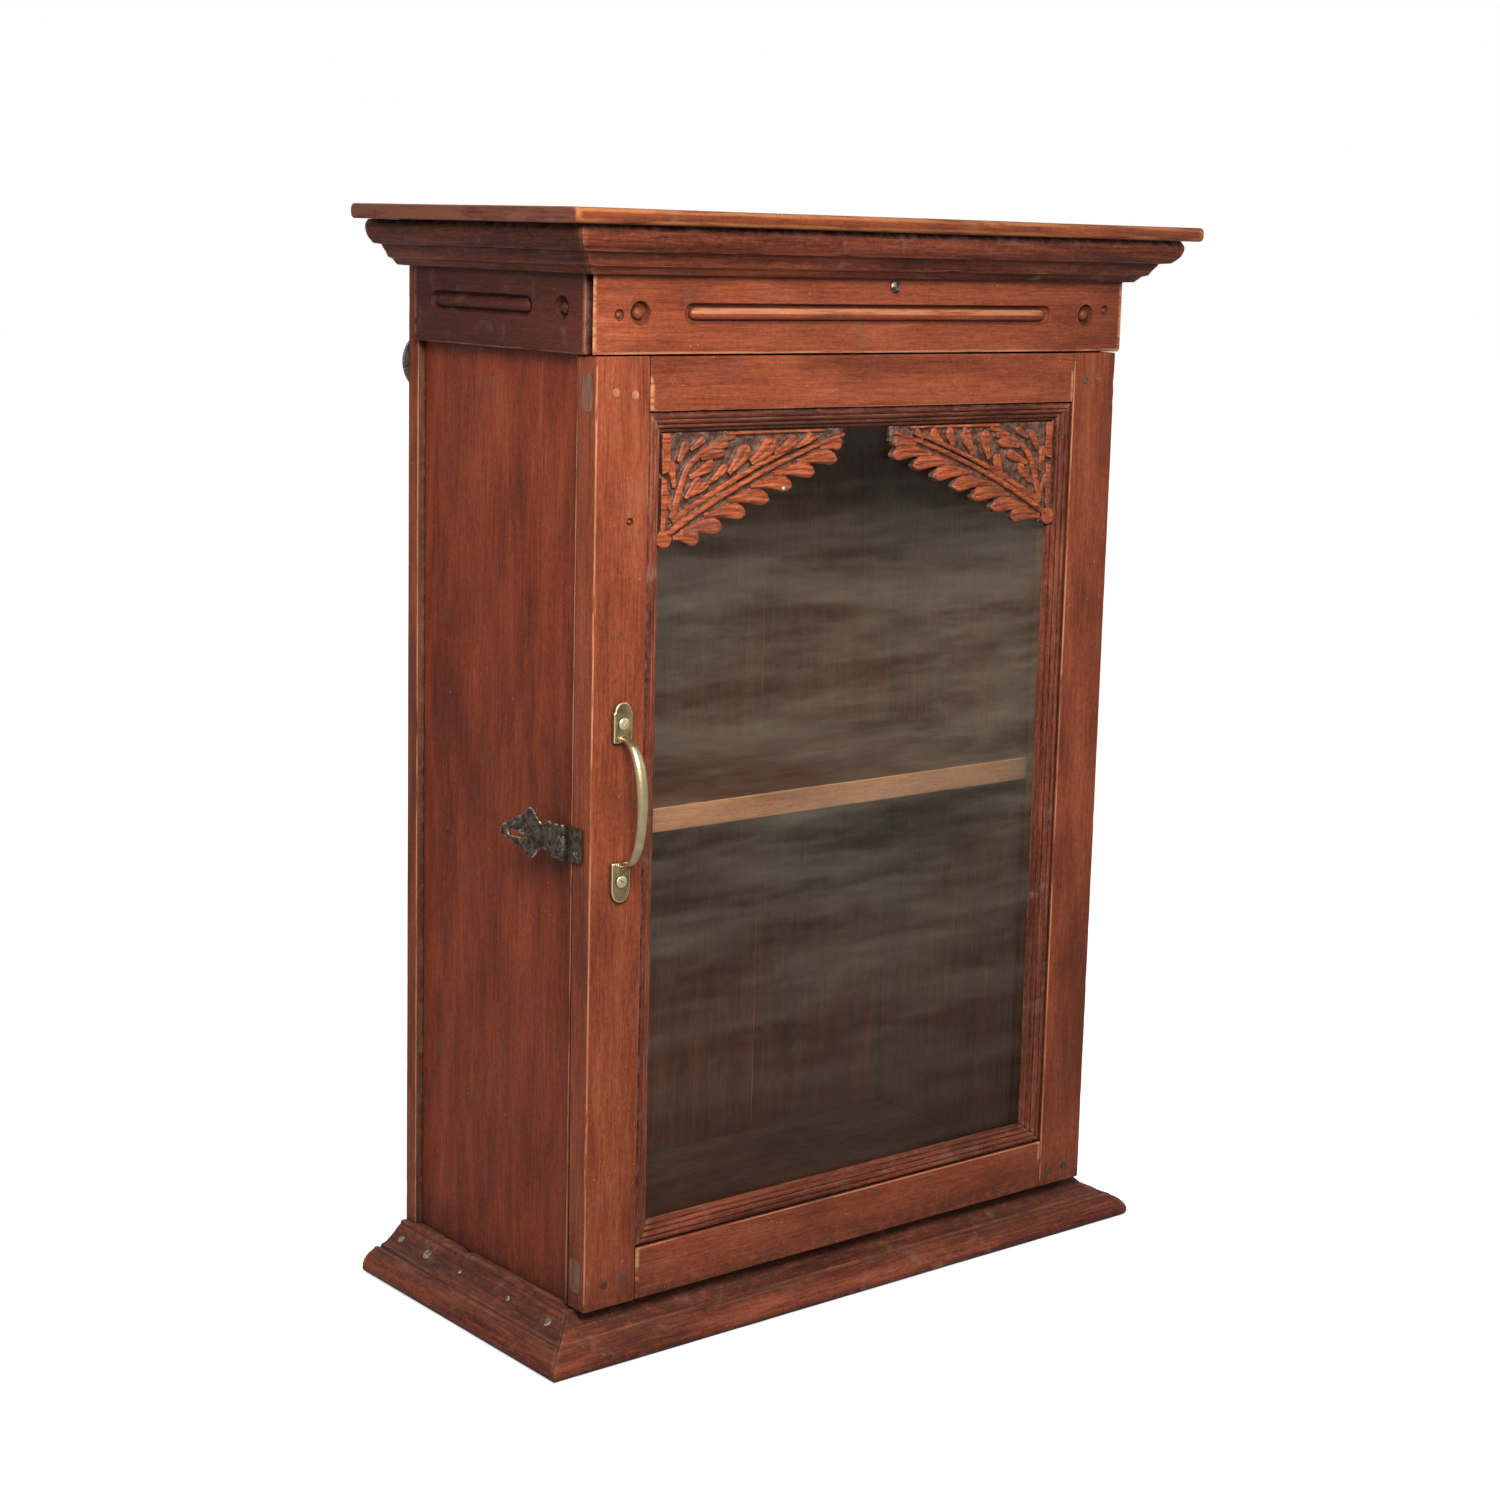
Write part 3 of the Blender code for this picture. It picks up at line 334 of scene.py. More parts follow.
def make_object(name, work, sharp_deg=35):
    """A mesh object from a bmesh laid out in millimetres."""
    bmesh.ops.recalc_face_normals(work, faces=work.faces)
    for vertex in work.verts:
        vertex.co *= MM
    mesh = bpy.data.meshes.new(name)
    work.to_mesh(mesh)
    work.free()
    mesh.shade_smooth()
    mesh.set_sharp_from_angle(angle=math.radians(sharp_deg))
    return linked(name, mesh)


def loft(name, rings, sharp_deg=35):
    """A closed skin through rings of points, with flat ends."""
    work = bmesh.new()
    made = [[work.verts.new(p) for p in ring] for ring in rings]
    count = len(rings[0])
    for near, far in zip(made, made[1:]):
        for i in range(count):
            j = (i + 1) % count
            work.faces.new((near[i], near[j], far[j], far[i]))
    work.faces.new(list(reversed(made[0])))
    work.faces.new(made[-1])
    return make_object(name, work, sharp_deg)


def applied(obj):
    """Replace an object's mesh by its evaluated one and drop the modifiers."""
    bpy.context.view_layer.update()
    graph = bpy.context.evaluated_depsgraph_get()
    mesh = bpy.data.meshes.new_from_object(obj.evaluated_get(graph))
    obj.modifiers.clear()
    obj.data = mesh
    return obj


def boolean(obj, other, operation="DIFFERENCE"):
    """Cut a helper solid out of a piece, or unite it, and remove the helper."""
    modifier = obj.modifiers.new("cut", "BOOLEAN")
    modifier.operation = operation
    modifier.solver = "EXACT"
    modifier.object = other
    applied(obj)
    bpy.data.objects.remove(other)
    obj.data.shade_smooth()
    obj.data.set_sharp_from_angle(angle=math.radians(35))
    return obj


def fused(name, parts, voxel, rounds=2):
    """Melt overlapping solids into one cast or carved body."""
    work = bmesh.new()
    for part in parts:
        work.from_mesh(part.data)
        bpy.data.objects.remove(part)
    mesh = bpy.data.meshes.new(name)
    work.to_mesh(mesh)
    work.free()
    obj = linked(name, mesh)
    remesh = obj.modifiers.new("melt", "REMESH")
    remesh.mode = "VOXEL"
    remesh.voxel_size = voxel * MM
    remesh.use_smooth_shade = True
    soften = obj.modifiers.new("soften", "SMOOTH")
    soften.factor = 0.5
    soften.iterations = rounds
    applied(obj)
    obj.data.shade_smooth()
    return obj


def turned(name, profile, centre, axis, steps=32):
    """A turned solid: profile (radius, height) from the axis round to the axis."""
    turn = Vector(axis).to_track_quat("Z", "Y").to_matrix()
    centre = Vector(centre)
    work = bmesh.new()
    rings = []
    for radius, height in profile:
        count = 1 if radius < 1e-6 else steps
        ring = []
        for i in range(count):
            a = 2 * math.pi * i / steps
            spot = Vector((radius * math.cos(a), radius * math.sin(a), height))
            ring.append(work.verts.new(centre + turn @ spot))
        rings.append(ring)
    for near, far in zip(rings, rings[1:]):
        for i in range(steps):
            j = (i + 1) % steps
            corners = [near[i % len(near)], near[j % len(near)], far[j % len(far)], far[i % len(far)]]
            unique = list(dict.fromkeys(corners))
            if len(unique) > 2:
                work.faces.new(unique)
    return make_object(name, work, 40)


def tube(name, points, radii, sides=12, flat=1.0, across=(1, 0, 0)):
    """A tube along points, its radius given at each one, flattened away from the across axis."""
    points = [Vector(p) for p in points]
    across = Vector(across)
    rings = []
    for i, point in enumerate(points):
        tangent = (points[min(i + 1, len(points) - 1)] - points[max(i - 1, 0)]).normalized()
        side = (across - tangent * across.dot(tangent)).normalized()
        up = tangent.cross(side)
        rings.append([
            point + radii[i] * (side * math.cos(a) + up * flat * math.sin(a))
            for a in (2 * math.pi * k / sides for k in range(sides))
        ])
    return loft(name, rings)


def slab(name, points, low, high, place, edge=0.0):
    """A flat outline from height low to high, its upper arris eased, stood up by a function."""
    count = len(points)
    normals = []
    for i, point in enumerate(points):
        along = (points[(i + 1) % count] - points[i - 1]).normalized()
        normals.append(Vector((along.y, -along.x)))
    levels = [(low, 0.0), (high - edge, 0.0), (high - 0.3 * edge, 0.3 * edge), (high, edge)]
    if not edge:
        levels = [(low, 0.0), (high, 0.0)]
    rings = [[place(p - n * inset, height) for p, n in zip(points, normals)] for height, inset in levels]
    return loft(name, rings)


# ---------------------------------------------------------------- timber

def timber(name, profile, origin, u_axis, v_axis, length, mitres=(None, None), wear=0.7, seed=1):
    """Sweep a profile along u x v, centred on origin, with its arrises worn.

    A mitre of +1 or -1 slants an end out or in with the profile's u; None is a square end
    with an eased rim.
    """
    u_axis = Vector(u_axis)
    v_axis = Vector(v_axis)
    run = u_axis.cross(v_axis)
    origin = Vector(origin)
    count = len(profile)
    normals = []
    edges = []
    for i, point in enumerate(profile):
        before = (point - profile[i - 1]).normalized()
        after = (profile[(i + 1) % count] - point).normalized()
        along = (before + after).normalized()
        normals.append(Vector((along.y, -along.x)))
        turn = math.degrees(math.atan2(before.x * after.y - before.y * after.x, before.dot(after)))
        edges.append(min(1.0, max(0.0, turn / 50)))
    slant = [m or 0.0 for m in mitres]
    half = length / 2
    stations = max(2, round(length / STATION))
    spots = [(-1 + 2 * i / stations, 0.0) for i in range(stations + 1)]
    rim = 0.7 / half
    if mitres[0] is None:
        spots[0:1] = [(-1, 0.7), (-1 + rim, 0.0)]
    if mitres[1] is None:
        spots[-1:] = [(1 - rim, 0.0), (1, 0.7)]
    rings = []
    for share, inset in spots:
        ring = []
        for point, normal, edge in zip(profile, normals, edges):
            reach = half + (slant[1] if share > 0 else slant[0]) * point.x
            along = share * reach
            spot = origin + u_axis * point.x + v_axis * point.y + run * along
            depth = wear * edge * chips(spot, seed) + 0.12 * (1 + noise.noise(spot * 0.012)) + inset
            outward = u_axis * normal.x + v_axis * normal.y
            ring.append(spot - outward * depth)
        rings.append(ring)
    return loft(name, rings)


def board_profile(width, height, radius):
    """A rectangle with rounded corners, anticlockwise about its centre, with guard points."""
    found = []
    corners = ((1, -1, -90), (1, 1, 0), (-1, 1, 90), (-1, -1, 180))
    for x_side, y_side, start in corners:
        centre = (x_side * (width / 2 - radius), y_side * (height / 2 - radius))
        found += arc(centre, radius, start, start + 90, 3)
    full = []
    for here, there in zip(found, found[1:] + found[:1]):
        full.append(here)
        gap = (there - here).length
        if gap > 4 * radius:
            guard = min(0.9, gap / 4) / gap
            inner = max(1, round(gap / 14))
            shares = [guard + (1 - 2 * guard) * k / inner for k in range(inner + 1)]
            full += [here.lerp(there, share) for share in shares]
    return full


def board(node, axis, radius=1.1, wear=0.7, seed=1, trim=None):
    """A worn board in the box of a CAD node, with its grain and length along an axis."""
    low, high = node_box(node)
    if trim:
        low, high = trim(low, high)
    centre = (low + high) / 2
    size = high - low
    order = {"X": "YZX", "Y": "ZXY", "Z": "XYZ"}[axis]
    u_axis, v_axis = GRAIN[order[0]], GRAIN[order[1]]
    profile = board_profile(size.dot(u_axis), size.dot(v_axis), radius)
    length = size.dot(GRAIN[axis])
    return timber(node + "_teak", profile, centre, u_axis, v_axis, length, wear=wear, seed=seed)


# ---------------------------------------------------------------- materials

class Nodes:
    """A material under construction."""

    def __init__(self, name):
        self.material = bpy.data.materials.new(name)
        self.material.use_nodes = True
        self.tree = self.material.node_tree
        self.tree.nodes.clear()

    def add(self, kind, inputs=(), **settings):
        """Add a node, set it up and feed its inputs by name or number."""
        node = self.tree.nodes.new("ShaderNode" + kind)
        for key, value in settings.items():
            setattr(node, key, value)
        for key, value in dict(inputs).items():
            self.feed(node.inputs[key], value)
        return node

    def feed(self, socket, value):
        """Link a socket, or set its value."""
        if isinstance(value, bpy.types.NodeSocket):
            self.tree.links.new(value, socket)
        else:
            socket.default_value = value

    def place(self, scale=(1, 1, 1), shift=0.0):
        """Object coordinates in metres, stretched and shifted."""
        coordinates = self.add("TexCoord").outputs["Object"]
        inputs = {"Vector": coordinates, "Scale": scale, "Location": (shift, 1.7 * shift, 2.3 * shift)}
        return self.add("Mapping", inputs).outputs["Vector"]

    def noise(self, vector, scale, detail=3.0, rough=0.55, distortion=0.0):
        """Noise value of features about 1/scale metres apart."""
        inputs = {
            "Vector": vector, "Scale": scale, "Detail": detail, "Roughness": rough,
            "Distortion": distortion,
        }
        return self.add("TexNoise", inputs).outputs["Fac"]

    def cloud(self, shift, scale, detail=3.0, rough=0.55):
        """Noise that runs the same way in all directions."""
        return self.noise(self.place((1, 1, 1), shift), scale, detail, rough)

    def math(self, operation, a, b=0.0):
        """A math node's value."""
        return self.add("Math", {0: a, 1: b}, operation=operation).outputs[0]

    def times(self, total, *others):
        """The product of some values."""
        for other in others:
            total = self.math("MULTIPLY", total, other)
        return total

    def plus(self, total, *others):
        """The sum of some values."""
        for other in others:
            total = self.math("ADD", total, other)
        return total

    def between(self, value, low, high, to_low=0.0, to_high=1.0):
        """Remap a value, clamped and eased."""
        inputs = {"Value": value, 1: low, 2: high, 3: to_low, 4: to_high}
        return self.add("MapRange", inputs, interpolation_type="SMOOTHSTEP").outputs["Result"]

    def mix(self, share, a, b, blend="MIX"):
        """Mix two colours."""
        node = self.add("Mix", {0: share, 6: a, 7: b}, data_type="RGBA", blend_type=blend)
        return node.outputs[2]

    def ramp(self, value, stops):
        """Colour ramp over (position, colour) stops."""
        node = self.add("ValToRGB", {"Fac": value})
        elements = node.color_ramp.elements
        while len(elements) < len(stops):
            elements.new(0.5)
        for element, (position, colour) in zip(elements, stops):
            element.position = position
            element.color = colour
        return node.outputs["Color"]

    def attribute(self, name):
        """A value stored on the mesh."""
        return self.add("Attribute", attribute_name=name).outputs["Fac"]

    def hollow(self, distance):
        """1 deep in corners and recesses, 0 on open faces."""
        node = self.add("AmbientOcclusion", {"Distance": distance * MM}, samples=6)
        return self.math("SUBTRACT", 1.0, node.outputs["AO"])

    def bump(self, height, distance, strength=1.0):
        """A normal from a height in millimetres."""
        inputs = {"Height": height, "Distance": distance * MM, "Strength": strength}
        return self.add("Bump", inputs).outputs["Normal"]

    def principled(self, colour, rough, normal, inputs):
        """Finish the material with a principled shader."""
        found = {"Base Color": colour, "Roughness": rough, "Normal": normal, **inputs}
        return self.surface(self.add("BsdfPrincipled", found))

    def surface(self, shader):
        """Finish the material with a shader node."""
        output = self.add("OutputMaterial")
        self.tree.links.new(shader.outputs[0], output.inputs["Surface"])
        return self.material


def teak(tone, axis, seed=0):
    """Worn teak of a tone with its grain along an axis."""
    name = "teak_%s_%s_%d" % (tone, axis, seed)
    if name in bpy.data.materials:
        return bpy.data.materials[name]
    n = Nodes(name)
    dark, middle, light = (srgb(*c) for c in TONES[tone][:3])
    smudge, dust, worn_and_lit = (srgb(*c) for c, weight in TONES[tone][3:6])
    smudged, dusted, bared_and_lit = (weight for c, weight in TONES[tone][3:6])
    roughness = TONES[tone][6]
    spread = SPREADS.get(tone, 0.17)

    def grain(kind, detail=3.0, distortion=0.0):
        scale = [STRETCH[kind] if key == axis else 1.0 for key in "XYZ"]
        spot = n.place(scale, 0.31 * seed + PER_METRE[kind] * 0.001)
        return n.noise(spot, PER_METRE[kind], detail, 0.6, distortion)

    figure = grain("figure", 2.0, 0.5)
    streak = grain("streak", 4.0)
    fibre = grain("fibre", 2.0)
    pore = n.between(grain("pore", 1.0), 0.62, 0.71)
    mottle = n.cloud(7.7 + seed, 330.0, 3.0, 0.6)
    shares = ((figure, 0.34), (streak, 0.28), (fibre, 0.22), (mottle, 0.16))
    mixed = n.plus(*(n.times(value, share) for value, share in shares))
    colour = n.ramp(mixed, ((0.50 - spread, dark), (0.50, middle), (0.50 + spread, light)))
    colour = n.mix(n.times(pore, 0.45), colour, dark)
    stain = grain("stain", 5.0, 0.3)
    colour = n.mix(n.times(n.between(stain, 0.50, 0.74), smudged), colour, smudge)
    blotch = n.cloud(3.1 + seed, 130.0, 4.0, 0.7)
    hollow = n.hollow(9.0)
    # Painted shade: corners and recesses darkened towards near black by how occluded they are
    crevice_shade = n.times(n.between(hollow, *SHADE_RANGES.get(tone, (0.28, 0.76))), 0.78)
    colour = n.mix(crevice_shade, colour, CREVICE_SHADE)
    dusty = n.times(n.between(hollow, 0.16, 0.50), n.between(blotch, 0.42, 0.66))
    colour = n.mix(n.times(dusty, dusted), colour, dust)
    scuff = n.between(n.cloud(9.1 + seed, 44.0, 5.0, 0.68), 0.56, 0.72)
    colour = n.mix(n.times(scuff, dusted), colour, dust)
    # Worn arrises with painted highlight: the wear value lightens convex edges, though not in hollows
    arris = n.between(n.attribute("wear"), 0.50, 0.95)
    rub_and_highlight = n.between(grain("rub", 4.0, 0.2), 0.34, 0.56)
    rub_and_highlight = n.times(arris, rub_and_highlight, n.between(hollow, 0.25, 0.60, 1.0, 0.0), bared_and_lit)
    colour = n.mix(rub_and_highlight, colour, worn_and_lit)
    up = n.add("SeparateXYZ", {0: n.place()}).outputs["Z"]
    patches = n.between(blotch, 0.36, 0.60, 0.10, 0.62)
    foot = n.times(n.between(up, 0.008, 0.022), n.between(up, 0.028, 0.066, 1.0, 0.0), patches)
    colour = n.mix(foot, colour, GRIME)
    speck = n.between(n.cloud(5.3 + seed, 420.0, 1.0, 0.5), 0.77, 0.81)
    colour = n.mix(n.times(speck, 0.5), colour, worn_and_lit)
    relief = n.math("SUBTRACT", n.plus(streak, n.times(fibre, 0.6)), pore)
    normal = n.bump(relief, 0.12, 0.7)
    rough = n.between(stain, 0.3, 0.7, roughness - 0.06, roughness + 0.12)
    rough = n.plus(rough, n.times(dusty, 0.25))
    return n.principled(colour, rough, normal, {"Specular IOR Level": 0.16})


def carved_teak():
    """Orange leaf tops with rubbed, highlighted edges over darker grey hollows, ground and walls, and painted
    shade in the crevices.
    """
    n = Nodes("teak_carved")
    flow = n.noise(n.place((0.08, 1, 1), 0.4), 520.0, 4.0, 0.6)
    grain = ((0.34, srgb(88, 36, 19)), (0.5, srgb(140, 64, 34)), (0.66, srgb(170, 90, 50)))
    colour = n.ramp(flow, grain)
    blotch = n.cloud(1.9, 210.0, 4.0, 0.65)
    grime = n.cloud(4.4, 38.0, 3.0, 0.6)
    colour = n.mix(n.times(n.between(grime, 0.46, 0.68), 0.6), colour, srgb(96, 54, 40))
    deep = n.between(n.attribute("cavity"), 0.25, 0.75)
    hollow = n.hollow(6.0)
    low_and_steep_grey = n.math("MAXIMUM", n.between(hollow, 0.34, 0.72), deep)
    ground = n.mix(n.between(blotch, 0.40, 0.62), srgb(46, 35, 30), srgb(90, 72, 63))
    colour = n.mix(n.times(low_and_steep_grey, 0.88), colour, ground)
    # Painted shade: near black deep in the carving's crevices
    colour = n.mix(n.times(n.between(hollow, 0.56, 0.95), 0.8), colour, CREVICE_SHADE)
    rub_and_highlight = n.times(n.attribute("wear"), n.between(blotch, 0.50, 0.66))
    colour = n.mix(n.times(rub_and_highlight, 0.3), colour, srgb(212, 146, 100))
    normal = n.bump(n.plus(flow, blotch), 0.14, 0.7)
    return n.principled(colour, 0.52, normal, {"Specular IOR Level": 0.22})


def brass(name, polish_and_highlight):
    """Aged cast brass, bright on its edges where hands rub it and with painted highlight."""
    n = Nodes(name)
    cloud = n.cloud(0.2, 130.0, 4.0, 0.6)
    tones = ((0.32, srgb(114, 95, 68)), (0.52, srgb(158, 137, 102)), (0.70, srgb(194, 173, 134)))
    colour = n.ramp(cloud, tones)
    # Polish and painted highlight: convex edges lightened towards pale brass
    rub_and_highlight = n.between(n.attribute("wear"), 0.18, 0.60, polish_and_highlight, 0.9)
    colour = n.mix(rub_and_highlight, colour, srgb(240, 224, 178))
    tarnish = n.times(n.between(n.hollow(4.0), 0.2, 0.7), 0.8)
    colour = n.mix(tarnish, colour, srgb(66, 48, 30))
    fine = n.cloud(2.2, 900.0, 3.0, 0.6)
    rough = n.between(cloud, 0.3, 0.7, 0.42, 0.26)
    normal = n.bump(n.plus(cloud, n.times(fine, 0.4)), 0.25, 0.6)
    return n.principled(colour, rough, normal, {"Metallic": 0.9})


def iron(name, light, dark, polish_and_highlight=0.8):
    """Blackened wrought iron with bright edges, partly rubbed and partly painted highlight, and a touch of rust.
    """
    n = Nodes(name)
    cloud = n.cloud(0.6, 240.0, 5.0, 0.65)
    colour = n.ramp(cloud, ((0.38, dark), (0.66, light)))
    rust = n.cloud(3.6, 260.0, 4.0, 0.7)
    colour = n.mix(n.times(n.between(rust, 0.54, 0.70), 0.6), colour, srgb(96, 58, 38))
    # Rubbing and painted highlight: convex edges lightened towards a pale metal
    rub_and_highlight = n.times(n.attribute("wear"), n.between(cloud, 0.42, 0.60))
    colour = n.mix(n.times(rub_and_highlight, polish_and_highlight), colour, srgb(204, 190, 164))
    pits = n.cloud(1.3, 520.0, 4.0, 0.6)
    normal = n.bump(n.plus(cloud, n.times(pits, 0.5)), 0.22, 0.8)
    rough = n.between(cloud, 0.3, 0.7, 0.58, 0.36)
    return n.principled(colour, rough, normal, {"Metallic": 0.75})


def glass():
    """Clear old sheet glass with a glowing film of wiped dust, painted light, in soft level bands that are painted
    reflections.
    """
    n = Nodes("old_glass")
    clear = n.add("BsdfTransparent", {"Color": (0.92, 0.91, 0.89, 1)})
    gloss = n.add("BsdfGlossy", {"Color": (0.90, 0.84, 0.78, 1), "Roughness": 0.04})
    fresnel = n.add("Fresnel", {"IOR": 1.17}).outputs[0]
    pane = n.add("MixShader", {0: fresnel, 1: clear.outputs[0], 2: gloss.outputs[0]})
    # Painted reflection: soft level bands and wisps in the glowing film
    band = n.noise(n.place((1, 1, 7.0), 1.4), 5.0, 5.0, 0.6, 0.3)
    wisp = n.noise(n.place((1, 1, 5.0), 2.4), 30.0, 4.0, 0.62)
    glow_share = n.plus(n.between(band, 0.34, 0.70, 0.03, 0.14), n.between(wisp, 0.40, 0.75, 0.0, 0.04))
    # The glow fades towards the foot, and towards the top as painted shade under the cornice
    height = n.add("SeparateXYZ", {0: n.place()}).outputs["Z"]
    foot = n.between(height, 0.08, 0.44, 0.18, 1.0)
    head = n.between(height, 0.48, 0.60, 1.0, 0.20)
    glow_share = n.times(glow_share, foot, head)
    # Painted light: the film glows by emission instead of being lit
    painted_glow = n.add("Emission", {"Color": srgb(150, 138, 120), "Strength": PAINTED_HAZE_GLOW})
    shader = n.add("MixShader", {0: glow_share, 1: pane.outputs[0], 2: painted_glow.outputs[0]})
    return n.surface(shader)


def pale(name, colour):
    """A plain pale backdrop finish with a trace of mottling."""
    n = Nodes(name)
    tint = n.mix(n.noise(n.place(), 3.0), colour, tuple(0.98 * c for c in colour[:3]) + (1,))
    inputs = {
        "Base Color": tint, "Roughness": 0.9, "Specular IOR Level": 0.1,
        "Emission Color": (1, 1, 1, 1), "Emission Strength": FLOOR_GLOW,
    }
    return n.surface(n.add("BsdfPrincipled", inputs))


# ---------------------------------------------------------------- finishing a piece

def mark(obj):
    """Store how convex and how hollow each point of a mesh is, for worn and highlighted edges and for darker
    hollows.
    """
    work = bmesh.new()
    work.from_mesh(obj.data)
    ridge = work.verts.layers.float.new("wear")
    valley = work.verts.layers.float.new("cavity")
    for vertex in work.verts:
        bends = [edge.calc_face_angle_signed(0.0) for edge in vertex.link_edges]
        vertex[ridge] = min(1.0, max(0.0, max(bends, default=0.0)) / math.radians(32))
        vertex[valley] = min(1.0, max(0.0, -min(bends, default=0.0)) / math.radians(50))
    work.to_mesh(obj.data)
    work.free()


def finish(obj, material, body, slot, *nodes):
    """Give a new piece its material and body and hide the CAD nodes it stands for; its slot is not used."""
    mark(obj)
    obj.data.materials.clear()
    obj.data.materials.append(material)
    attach(obj, body)
    if nodes:
        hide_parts(*nodes)
    return obj


def face_towards(obj, directions, material, least=0.7):
    """Give the faces that look along any of some directions another material."""
    obj.data.materials.append(material)
    for polygon in obj.data.polygons:
        if max(polygon.normal.dot(Vector(direction)) for direction in directions) > least:
            polygon.material_index = len(obj.data.materials) - 1


def set_wear(obj, low, high, level=0.0):
    """Set the wear, which lightens edges as wear and painted highlight, of the part of a mesh inside a box; 0
    keeps its edges dark.
    """
    wear = obj.data.attributes["wear"]
    for vertex, value in zip(obj.data.vertices, wear.data):
        if all(a <= c / MM <= b for a, c, b in zip(low, vertex.co, high)):
            value.value = level


def keep(node, material, bevel=0.25):
    """Show a CAD node as it is, with eased edges and a better material."""
    obj = frame["nodes"][node]
    weld = obj.modifiers.new("weld", "WELD")
    weld.merge_threshold = 0.00001
    if bevel:
        ease = obj.modifiers.new("ease", "BEVEL")
        ease.width = bevel * MM
        ease.segments = 2
        ease.limit_method = "ANGLE"
        ease.angle_limit = math.radians(35)
    obj.data.materials.clear()
    obj.data.materials.append(material)
    return obj


# ---------------------------------------------------------------- carcass


def build_carcass():
    """Sides, inner boards, shelf, back planks and the top board."""
    for seed, (label, inward) in enumerate((("left", 1), ("right", -1))):
        node = label + "_side_board"
        side = board(node, "Z", 1.4, 1.1, 3 + seed)
        finish(side, teak("side", "Z", seed), "cabinet", "teak_side", node)
        face_towards(side, ((inward, 0, 0),), teak("inside", "Z", 9))
    boards = (("bottom_board", 0.9, 0.5, 11), ("ceiling_board", 0.9, 0.5, 12), ("shelf", 1.2, 0.8, 17))
    for shade, (node, radius, wear, seed) in enumerate(boards):
        piece = board(node, "X", radius, wear, seed)
        finish(piece, teak("inside", "X", shade), "cabinet", "teak_inside", node)
    face_towards(piece, ((0, -1, 0),), teak("shelf", "X"), 0.4)
    for label in ("left", "right"):
        keep("shelf_cleat_" + label, teak("inside", "Y", 2), 0.0)
    for seed, (label, closes) in enumerate((("left", (0, 1)), ("centre", (1, 1)), ("right", (1, 0)))):
        node = "back_plank_" + label
        plank = board(
            node, "Z", 1.0, 0.5, 21 + seed,
            trim=lambda a, b: (a - PLANK_FIT * closes[0], b + PLANK_FIT * closes[1]),
        )
        if label != "centre":
            drill_pocket(plank, "wall_hanger_" + label)
        finish(plank, teak("inside", "Z", 3 + seed), "cabinet", "teak_inside", node)
        face_towards(plank, ((-1, 0, 0), (1, 0, 0)), teak("front", "Z", 9), 0.4)
    top = board("top_board", "X", 3.6, 0.9, 31)
    rounding = top.modifiers.new("rounding", "BEVEL")
    rounding.width = 3.0 * MM
    rounding.segments = 4
    rounding.angle_limit = math.radians(50)
    applied(top)
    top.data.shade_smooth()
    finish(top, teak("top", "X"), "cabinet", "teak_front", "top_board")
    # Painted shade: the top board's ends take its darker copy
    face_towards(top, ((-1, 0, 0), (1, 0, 0)), teak("top_end_shaded", "Y"), 0.5)


def drill_pocket(plank, hanger):
    """Sink the pocket for a nail's head behind a wall hanger."""
    low, high = node_box(hanger)
    centre = (low + high) / 2 + Vector((0, 0, HANGER_HOLE_UP))
    profile = ((0, -9), (9.4, -9), (10, -8.4), (10, 8), (0, 8))
    boolean(plank, turned("pocket", profile, (centre.x, low.y, centre.z), (0, 1, 0)))


def build_hangers():
    """Dished round plates with a raised rim and a nail hole."""
    metal = iron("hanger_iron", srgb(92, 98, 104), srgb(50, 53, 58), 0.2)
    for label in ("left", "right"):
        node = "wall_hanger_" + label
        low, high = node_box(node)
        centre = (low + high) / 2
        radius = (high.x - low.x) / 2
        t = (high.y - low.y) / 2
        profile = (
            (0, -t), (radius - 0.6, -t), (radius, -0.4 * t), (radius, 0.5 * t), (radius - 0.7, t),
            (radius - 2.4, t), (radius - 3.6, 0.35 * t), (radius - 8, 0.1 * t), (0, 0.1 * t),
        )
        disc = turned(node + "_plate", profile, centre, (0, 1, 0), 64)
        hole_at = centre + Vector((0, 0, HANGER_HOLE_UP))
        hole = turned("hole", ((0, -9), (6, -9), (6, 9), (0, 9)), hole_at, (0, 1, 0))
        boolean(disc, hole)
        finish(disc, metal, "cabinet", "iron", node)


# ---------------------------------------------------------------- frieze


def stadium(half_length, radius):
    """Outline of a slot with round ends."""
    reach = half_length - CHANNEL_HALF_H
    return arc((reach, 0), radius, -90, 90, 10) + arc((-reach, 0), radius, 90, 270, 10)


def sink_channel(piece, face, along, half_length):
    """Cut a soft-edged channel into a face and leave a tapered reed along it."""
    along = Vector(along)
    outward = along.cross(UP)
    face = Vector(face)

    def stand(point, height):
        return face + along * point.x + UP * point.y + outward * height

    levels = ((-CHANNEL_DEPTH, 5.0), (-0.8 * CHANNEL_DEPTH, 6.0), (-0.7, 6.3), (0.0, 6.8), (1.5, 8.0))
    rings = [[stand(p, height) for p in stadium(half_length, radius)] for height, radius in levels]
    boolean(piece, loft("channel", rings))
    reach = half_length - CHANNEL_HALF_H + 1
    shares = [math.sin(math.pi / 2 * (-1 + i / REED_STEPS)) for i in range(2 * REED_STEPS + 1)]
    points = [face + along * reach * s - outward * CHANNEL_DEPTH for s in shares]
    ends = [min(1.0, reach * (1 - abs(s)) / REED_R) for s in shares]
    radii = [0.3 + (REED_R - 0.3) * math.sqrt(end * (2 - end)) for end in ends]
    boolean(piece, tube("reed", points, radii, 16, 0.86, UP), "UNION")


